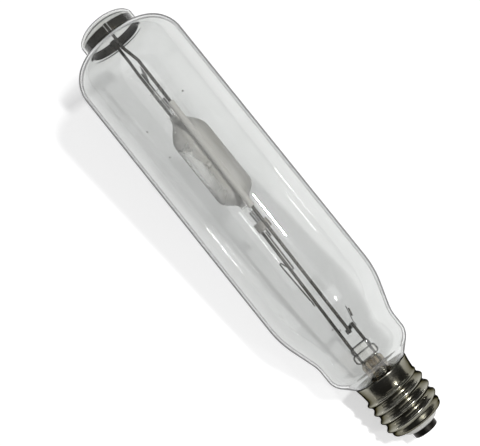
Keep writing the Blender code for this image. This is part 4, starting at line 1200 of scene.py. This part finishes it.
def sleeve(foot, shoulder):
    """The white tube on the leaning part of the near rod."""
    low = beside(foot, shoulder, SLEEVE[0].z + SLEEVE_LEAN)
    high = beside(foot, shoulder, SLEEVE[1].z - SLEEVE_LEAN)
    length = (high - low).length
    bore = ROD_RADIUS + SEAT_GAP
    corners = [
        (on_section(bore, length), 0),
        (on_section(SLEEVE_RADIUS, length), SLEEVE_EDGE),
        (on_section(SLEEVE_RADIUS, 0), SLEEVE_EDGE),
        (on_section(bore, 0), 0),
    ]
    mesh = turned("sleeve", rounded(corners, math.radians(20.0)), 40, closed=True)
    mesh.transform(aimed(low, high - low))
    show("sleeve", mesh, WHITE_SLEEVE, "white_sleeve", "insulating_sleeve")


def dome_springs():
    """Two half-round strips that press on the inside of the dome."""
    rod_angle = math.asin(RING_ROD_X / RING_ROD_RADIUS)
    clear = math.asin((ROD_RADIUS + SEAT_GAP) / RING_ROD_RADIUS)
    for side, start in (("right", -math.pi / 2 + rod_angle), ("left", math.pi / 2 + rod_angle)):
        path = []
        for i in range(SPRING_STEPS + 1):
            angle = start + clear + (math.pi - 2 * clear) * i / SPRING_STEPS
            x = SPRING_RADIUS * math.cos(angle)
            y = SPRING_RADIUS * math.sin(angle)
            path.append(at(x, y, SPRING_MIDDLE))
        strip(f"spring_{side}", path, SPRINGS[1].z - SPRINGS[0].z, SPRING_SHEET,
              DARK_STRIP, "dark_strip", f"dome_spring_{side}")


def spring_clip():
    """The small clip that lies against the far rod, with its ends bent back."""
    low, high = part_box("spring_clip")
    y = RING_ROD_Y - ROD_RADIUS - SEAT_GAP - SPRING_SHEET / 2
    half = CLIP_WIDTH / 2
    z = (low.z + high.z) / 2
    path = rounded([
        (at(-RING_ROD_X - half, y + CLIP_CURL, z), 0),
        (at(-RING_ROD_X - half / 2, y, z), CLIP_BEND),
        (at(-RING_ROD_X + half / 2, y, z), CLIP_BEND),
        (at(-RING_ROD_X + half, y + CLIP_CURL, z), 0),
    ], math.radians(12.0))
    strip("clip", path, high.z - low.z, SPRING_SHEET, DARK_STRIP, "dark_strip", "spring_clip")


def upper_strap(foot, shoulder):
    """The strip from rod to rod, which passes the upper arc lead on its way."""
    near = beside(foot, shoulder, STRAP_MIDDLE)
    off_rod = ROD_RADIUS + SEAT_GAP + STRAP_SHEET / 2
    off_lead = ARC_LEAD_RADIUS + SEAT_GAP + STRAP_SHEET / 2
    reach = ROD_REACH + STRIP_OVERHANG
    path = rounded([
        (at(near.x - off_rod, -reach, STRAP_MIDDLE), 0),
        (at(near.x - off_rod, -ROD_REACH + STRIP_OVERHANG, STRAP_MIDDLE), STRAP_BEND),
        (at(off_lead, -STRIP_OVERHANG, STRAP_MIDDLE), STRAP_BEND),
        (at(off_lead, STRIP_OVERHANG, STRAP_MIDDLE), STRAP_BEND),
        (at(FAR_ROD_X + off_rod, ROD_REACH - STRIP_OVERHANG, STRAP_MIDDLE), STRAP_BEND),
        (at(FAR_ROD_X + off_rod, reach, STRAP_MIDDLE), 0),
    ])
    strip("strap", path, STRAP[1].z - STRAP[0].z, STRAP_SHEET,
          DARK_STRIP, "dark_strip", "upper_strap")


def cross_strip(foot):
    """The strip from the right lead-in rod to the near rod's foot."""
    middle = (CROSS[0].z + CROSS[1].z) / 2
    lead = at(LEAD_X, 0, middle)
    end = at(foot.x, foot.y, middle)
    line = (end - lead).normalized()
    off = at(line.y, -line.x, 0)
    path = [
        lead + off * (LEAD_RADIUS + SEAT_GAP + CROSS_SHEET / 2) - line * STRIP_OVERHANG,
        end + off * (ROD_RADIUS + SEAT_GAP + CROSS_SHEET / 2) + line * STRIP_OVERHANG,
    ]
    strip("cross", path, CROSS[1].z - CROSS[0].z, CROSS_SHEET,
          DARK_STRIP, "dark_strip", "cross_strip")


def lower_clamp():
    """The closed band round the arc tube's lower pinch."""
    x = CLAMP[1].x - CLAMP_SHEET / 2
    y = CLAMP[1].y - CLAMP_SHEET / 2
    z = (CLAMP[0].z + CLAMP[1].z) / 2
    sides = ((x, -y), (x, y), (-x, y), (-x, -y))
    corners = [(at(*side, z), CLAMP_CORNER) for side in sides]
    start = at(0, -y, z)
    path = rounded([(start, 0), *corners, (start, 0)], math.radians(15.0))
    strip("clamp", path[:-1], CLAMP[1].z - CLAMP[0].z, CLAMP_SHEET,
          CLAMP_METAL, "wire_metal", "lower_clamp", closed=True)


def arc_leads():
    """The straight wires out of both pinches of the arc tube."""
    for name, box in (("upper", UPPER_LEAD), ("lower", LOWER_LEAD)):
        line = [(at(0, 0, corner.z), 0) for corner in box]
        wire(f"{name}_lead", line, ARC_LEAD_RADIUS, f"{name}_arc_lead")


def flexible_lead(left_foot, left_top):
    """The thin lead that hooks from the lower arc lead over to the left lead-in rod."""
    end = ARC[0].z
    hook = end - FLEX_HOOK_DROP
    crest = hook + FLEX_HOOK_RISE
    joint = hook - FLEX_TAIL_DROP
    off = ARC_LEAD_RADIUS + SEAT_GAP + FLEX_RADIUS
    aside = at(-(LEAD_RADIUS + SEAT_GAP + FLEX_RADIUS), 0, 0)
    wire("thin_lead", [
        (at(-off, 0, FLEXIBLE[1].z), 0),
        (at(-off, 0, end - LOWER_LEAD_TAIL), FLEX_SWEEP),
        (at(FLEX_LOOP_X, 0, hook), FLEX_BEND),
        (at(FLEX_LOOP_X - FLEX_LOOP, 0, hook), 2 * FLEX_BEND),
        (at(FLEX_HOOK_X + FLEX_CREST, 0, crest), FLEX_BEND),
        (at(FLEX_HOOK_X, 0, crest), FLEX_BEND),
        (beside(left_foot, left_top, joint) + aside, FLEX_SWEEP),
        (beside(left_foot, left_top, FLEXIBLE[0].z) + aside, 0),
    ], FLEX_RADIUS, "flexible_lead")


def electrodes():
    """A shank with a coil wound on it, in each end of the arc tube."""
    for name, way in (("upper", 1), ("lower", -1)):
        low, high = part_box(f"{name}_electrode")
        tip, root = (low.z, high.z) if way > 0 else (high.z, low.z)
        rod_line = line_mesh(f"{name}_shank", [at(0, 0, tip), at(0, 0, root)])
        values = {"Radius": SHANK_RADIUS, "Sides": WIRE_SIDES}
        shank = run_tree(WIRE, rod_line, TUNGSTEN, values)
        show(f"{name}_shank", shank, TUNGSTEN, "tungsten", f"{name}_electrode")
        fine = (COIL_RADIUS - SHANK_RADIUS) / 2
        place = Matrix.Translation((0, 0, tip + way * (COIL_LEAD + fine)))
        if way < 0:
            place = place @ Matrix.Rotation(math.pi, 4, "X")
        empty = line_mesh(f"{name}_coil", [at(0, 0, 0), at(0, 0, MM)])
        values = {"Radius": SHANK_RADIUS + fine, "Wire": fine, "Pitch": COIL_PITCH,
                  "Turns": COIL_TURNS, "Sides": 10}
        coil = run_tree(COIL, empty, TUNGSTEN, values, place=place)
        show(f"{name}_coil", coil, TUNGSTEN, "tungsten")


def kept_solids():
    """The cap's inner wires and the foils, whose solids stay and only get their finish."""
    copper = (COPPER_WIRE, "copper_wire")
    foil = (MOLYBDENUM, "molybdenum")
    kept = {"contact_wire": copper, "shell_wire": copper, "upper_foil": foil, "lower_foil": foil}
    for name, (finish, slot) in kept.items():
        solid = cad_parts[name]
        solid.data.materials.clear()
        solid.data.materials.append(finish)


def getter():
    """The getter's bent strip beside the right lead-in rod, and its pressed pill."""
    low, high = GETTER_STRIP
    side = LEAD_X + LEAD_RADIUS + SEAT_GAP + GETTER_SHEET / 2
    knee = at(side, 0, low.z + (high.z - low.z) * GETTER_KNEE)
    top = at(side + GETTER_LEAN, 0, high.z)
    path = rounded([
        (at(side, 0, low.z), 0), (knee, GETTER_BEND), (top - at(0, 0, GETTER_CORNER), 0)
    ])
    near = at(0, -(high.y - low.y) / 2, 0)

    def build(shape):
        edge = [shape.verts.new(point + near) for point in path]
        other = [shape.verts.new(point - near) for point in path]
        for i in range(len(path) - 1):
            shape.faces.new((edge[i], edge[i + 1], other[i + 1], other[i]))
        bmesh.ops.recalc_face_normals(shape, faces=shape.faces)

    mesh = mesh_from("getter_strip_bent", build)
    piece = show("getter_strip_bent", mesh, DARK_STRIP, "dark_strip", "getter_strip")
    solidify = piece.modifiers.new("sheet", "SOLIDIFY")
    solidify.thickness = GETTER_SHEET
    solidify.offset = 0.0
    dish = GETTER_HALF * (1 - GETTER_SINK)
    corners = [
        (on_section(0, dish), 0),
        (on_section(GETTER_RADIUS * GETTER_DISH, dish), GETTER_DISH_EDGE),
        (on_section(GETTER_RADIUS * GETTER_SLOPE, GETTER_HALF), GETTER_DISH_EDGE),
        (on_section(GETTER_RADIUS, GETTER_HALF), GETTER_EDGE),
        (on_section(GETTER_RADIUS, -GETTER_HALF), GETTER_EDGE),
        (on_section(0, -GETTER_HALF), 0),
    ]
    mesh = turned("getter_pill", rounded(corners, math.radians(15.0)), 40)
    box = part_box("getter_disc")
    along = (top - knee).normalized()
    mesh.transform(aimed((box[0] + box[1]) / 2, at(along.z, 0, -along.x)))
    show("getter_pill", mesh, GETTER_METAL, "getter_metal", "getter_disc")


# Stage, light and camera

FLOOR_SIZE = 8.0
FLOOR_TILT = math.radians(14.0)
FLOOR_GAP = 0.5 * MM
FLOOR_TOUCH = at(0, THREAD_ROOT + THREAD_DEPTH + FLOOR_GAP, THREAD_BOTTOM)
FLOOR_GLOW = 0.52  # brings the pale paint up to white where it is seen
ROOM_LIGHT = (0.05, 0.05, 0.052, 1.0)
CAMERA = at(0.0059, -0.600, 0.1392)
AIM = at(-0.01013, 0.0, 0.17066)
ROLL = math.radians(-38.67)
LENS = 72.48


def floor():
    """The pale floor that the lamp lies on, seen through from behind."""
    bpy.ops.mesh.primitive_plane_add(size=FLOOR_SIZE, location=FLOOR_TOUCH)
    ground = bpy.context.object
    ground.name = "floor"
    ground.rotation_euler = (math.pi / 2 - FLOOR_TILT, 0, 0)
    paint = Finish("floor_paint", Base_Color=(0.88, 0.88, 0.88, 1.0), Roughness=0.9)
    paint.set("Specular IOR Level", 0.0)
    paint.set("Emission Color", (1.0, 1.0, 1.0, 1.0))
    path = node(paint.tree, "ShaderNodeLightPath").outputs
    seen = math_of(paint.tree, "MAXIMUM", path["Is Camera Ray"], path["Is Transmission Ray"])
    seen = math_of(paint.tree, "MAXIMUM", seen, path["Is Glossy Ray"])
    paint.set("Emission Strength", math_of(paint.tree, "MULTIPLY", seen, FLOOR_GLOW))
    behind = node(paint.tree, "ShaderNodeNewGeometry").outputs["Backfacing"]
    clear = node(paint.tree, "ShaderNodeBsdfTransparent")
    end_in_mix(paint.tree, "Material Output", behind, paint.shader, clear)
    ground.data.materials.append(paint.material)


def soft_light(name, place, target, size, power):
    """A rectangular lamp of the given width and height, turned to its target."""
    data = bpy.data.lights.new(name, "AREA")
    data.shape = "RECTANGLE"
    data.size, data.size_y = size
    data.energy = power
    lamp = add_object(name, data)
    lamp.location = place
    lamp.rotation_euler = (target - place).to_track_quat("-Z", "Y").to_euler()


def light_up():
    """Small lamps whose streaks run along the glass, wide dim cards, and a dark room all round.

    The room is white where it is seen straight on or through glass.
    """
    middle = at(0, 0, 0.20)
    soft_light("studio_lamp", at(0.52, -1.30, 0.21), middle, (0.05, 0.12), 10.5)
    soft_light("front_card", at(-0.10, -1.35, 0.36), middle, (1.40, 0.65), 2.2)
    soft_light("low_lamp", at(0.50, -1.30, -0.33), middle, (0.05, 0.12), 1.6)
    soft_light("right_lamp", at(1.15, -0.33, 0.17), middle, (0.009, 0.10), 0.18)
    soft_light("low_right_lamp", at(1.20, 0.03, 0.21), middle, (0.009, 0.12), 0.22)
    soft_light("low_left_lamp", at(-1.20, 0.03, 0.21), middle, (0.009, 0.12), 0.32)
    soft_light("low_side_lamp", at(-1.20, -0.10, -0.30), middle, (0.015, 0.03), 0.10)
    soft_light("dim_card", at(0.45, -1.25, -0.20), at(0, 0, 0.03), (0.70, 0.40), 1.0)
    soft_light("left_card", at(-1.20, -0.15, 0.15), middle, (0.90, 0.80), 1.5)
    world = bpy.data.worlds.new("room")
    bpy.context.scene.world = world
    world.use_nodes = True
    tree = world.node_tree
    room = tree.nodes["Background"]
    room.inputs["Color"].default_value = ROOM_LIGHT
    bright = node(tree, "ShaderNodeBackground", {"Color": (1.0, 1.0, 1.0, 1.0)})
    path = node(tree, "ShaderNodeLightPath").outputs
    seen = math_of(tree, "MAXIMUM", path["Is Camera Ray"], path["Is Transmission Ray"])
    end_in_mix(tree, "World Output", seen, room, bright)


def camera():
    """The camera, at the picture's angle."""
    data = bpy.data.cameras.new("camera")
    data.lens = LENS
    eye = add_object("camera", data)
    look = (AIM - CAMERA).to_track_quat("-Z", "Y").to_matrix().to_4x4()
    eye.matrix_world = Matrix.Translation(CAMERA) @ look @ Matrix.Rotation(ROLL, 4, "Z")
    bpy.context.scene.camera = eye


outer_bulb()
stem()
exhaust_tube()
arc_tube()
cap_shell()
cap_insulator()
centre_contact()
basing_cement()
FOOT, SHOULDER, LEFT_FOOT, LEFT_TOP = frame_and_leads()
sleeve(FOOT, SHOULDER)
dome_springs()
spring_clip()
upper_strap(FOOT, SHOULDER)
cross_strip(FOOT)
lower_clamp()
arc_leads()
flexible_lead(LEFT_FOOT, LEFT_TOP)
electrodes()
kept_solids()
getter()
floor()
light_up()
camera()
bpy.context.scene.view_settings.view_transform = "Standard"
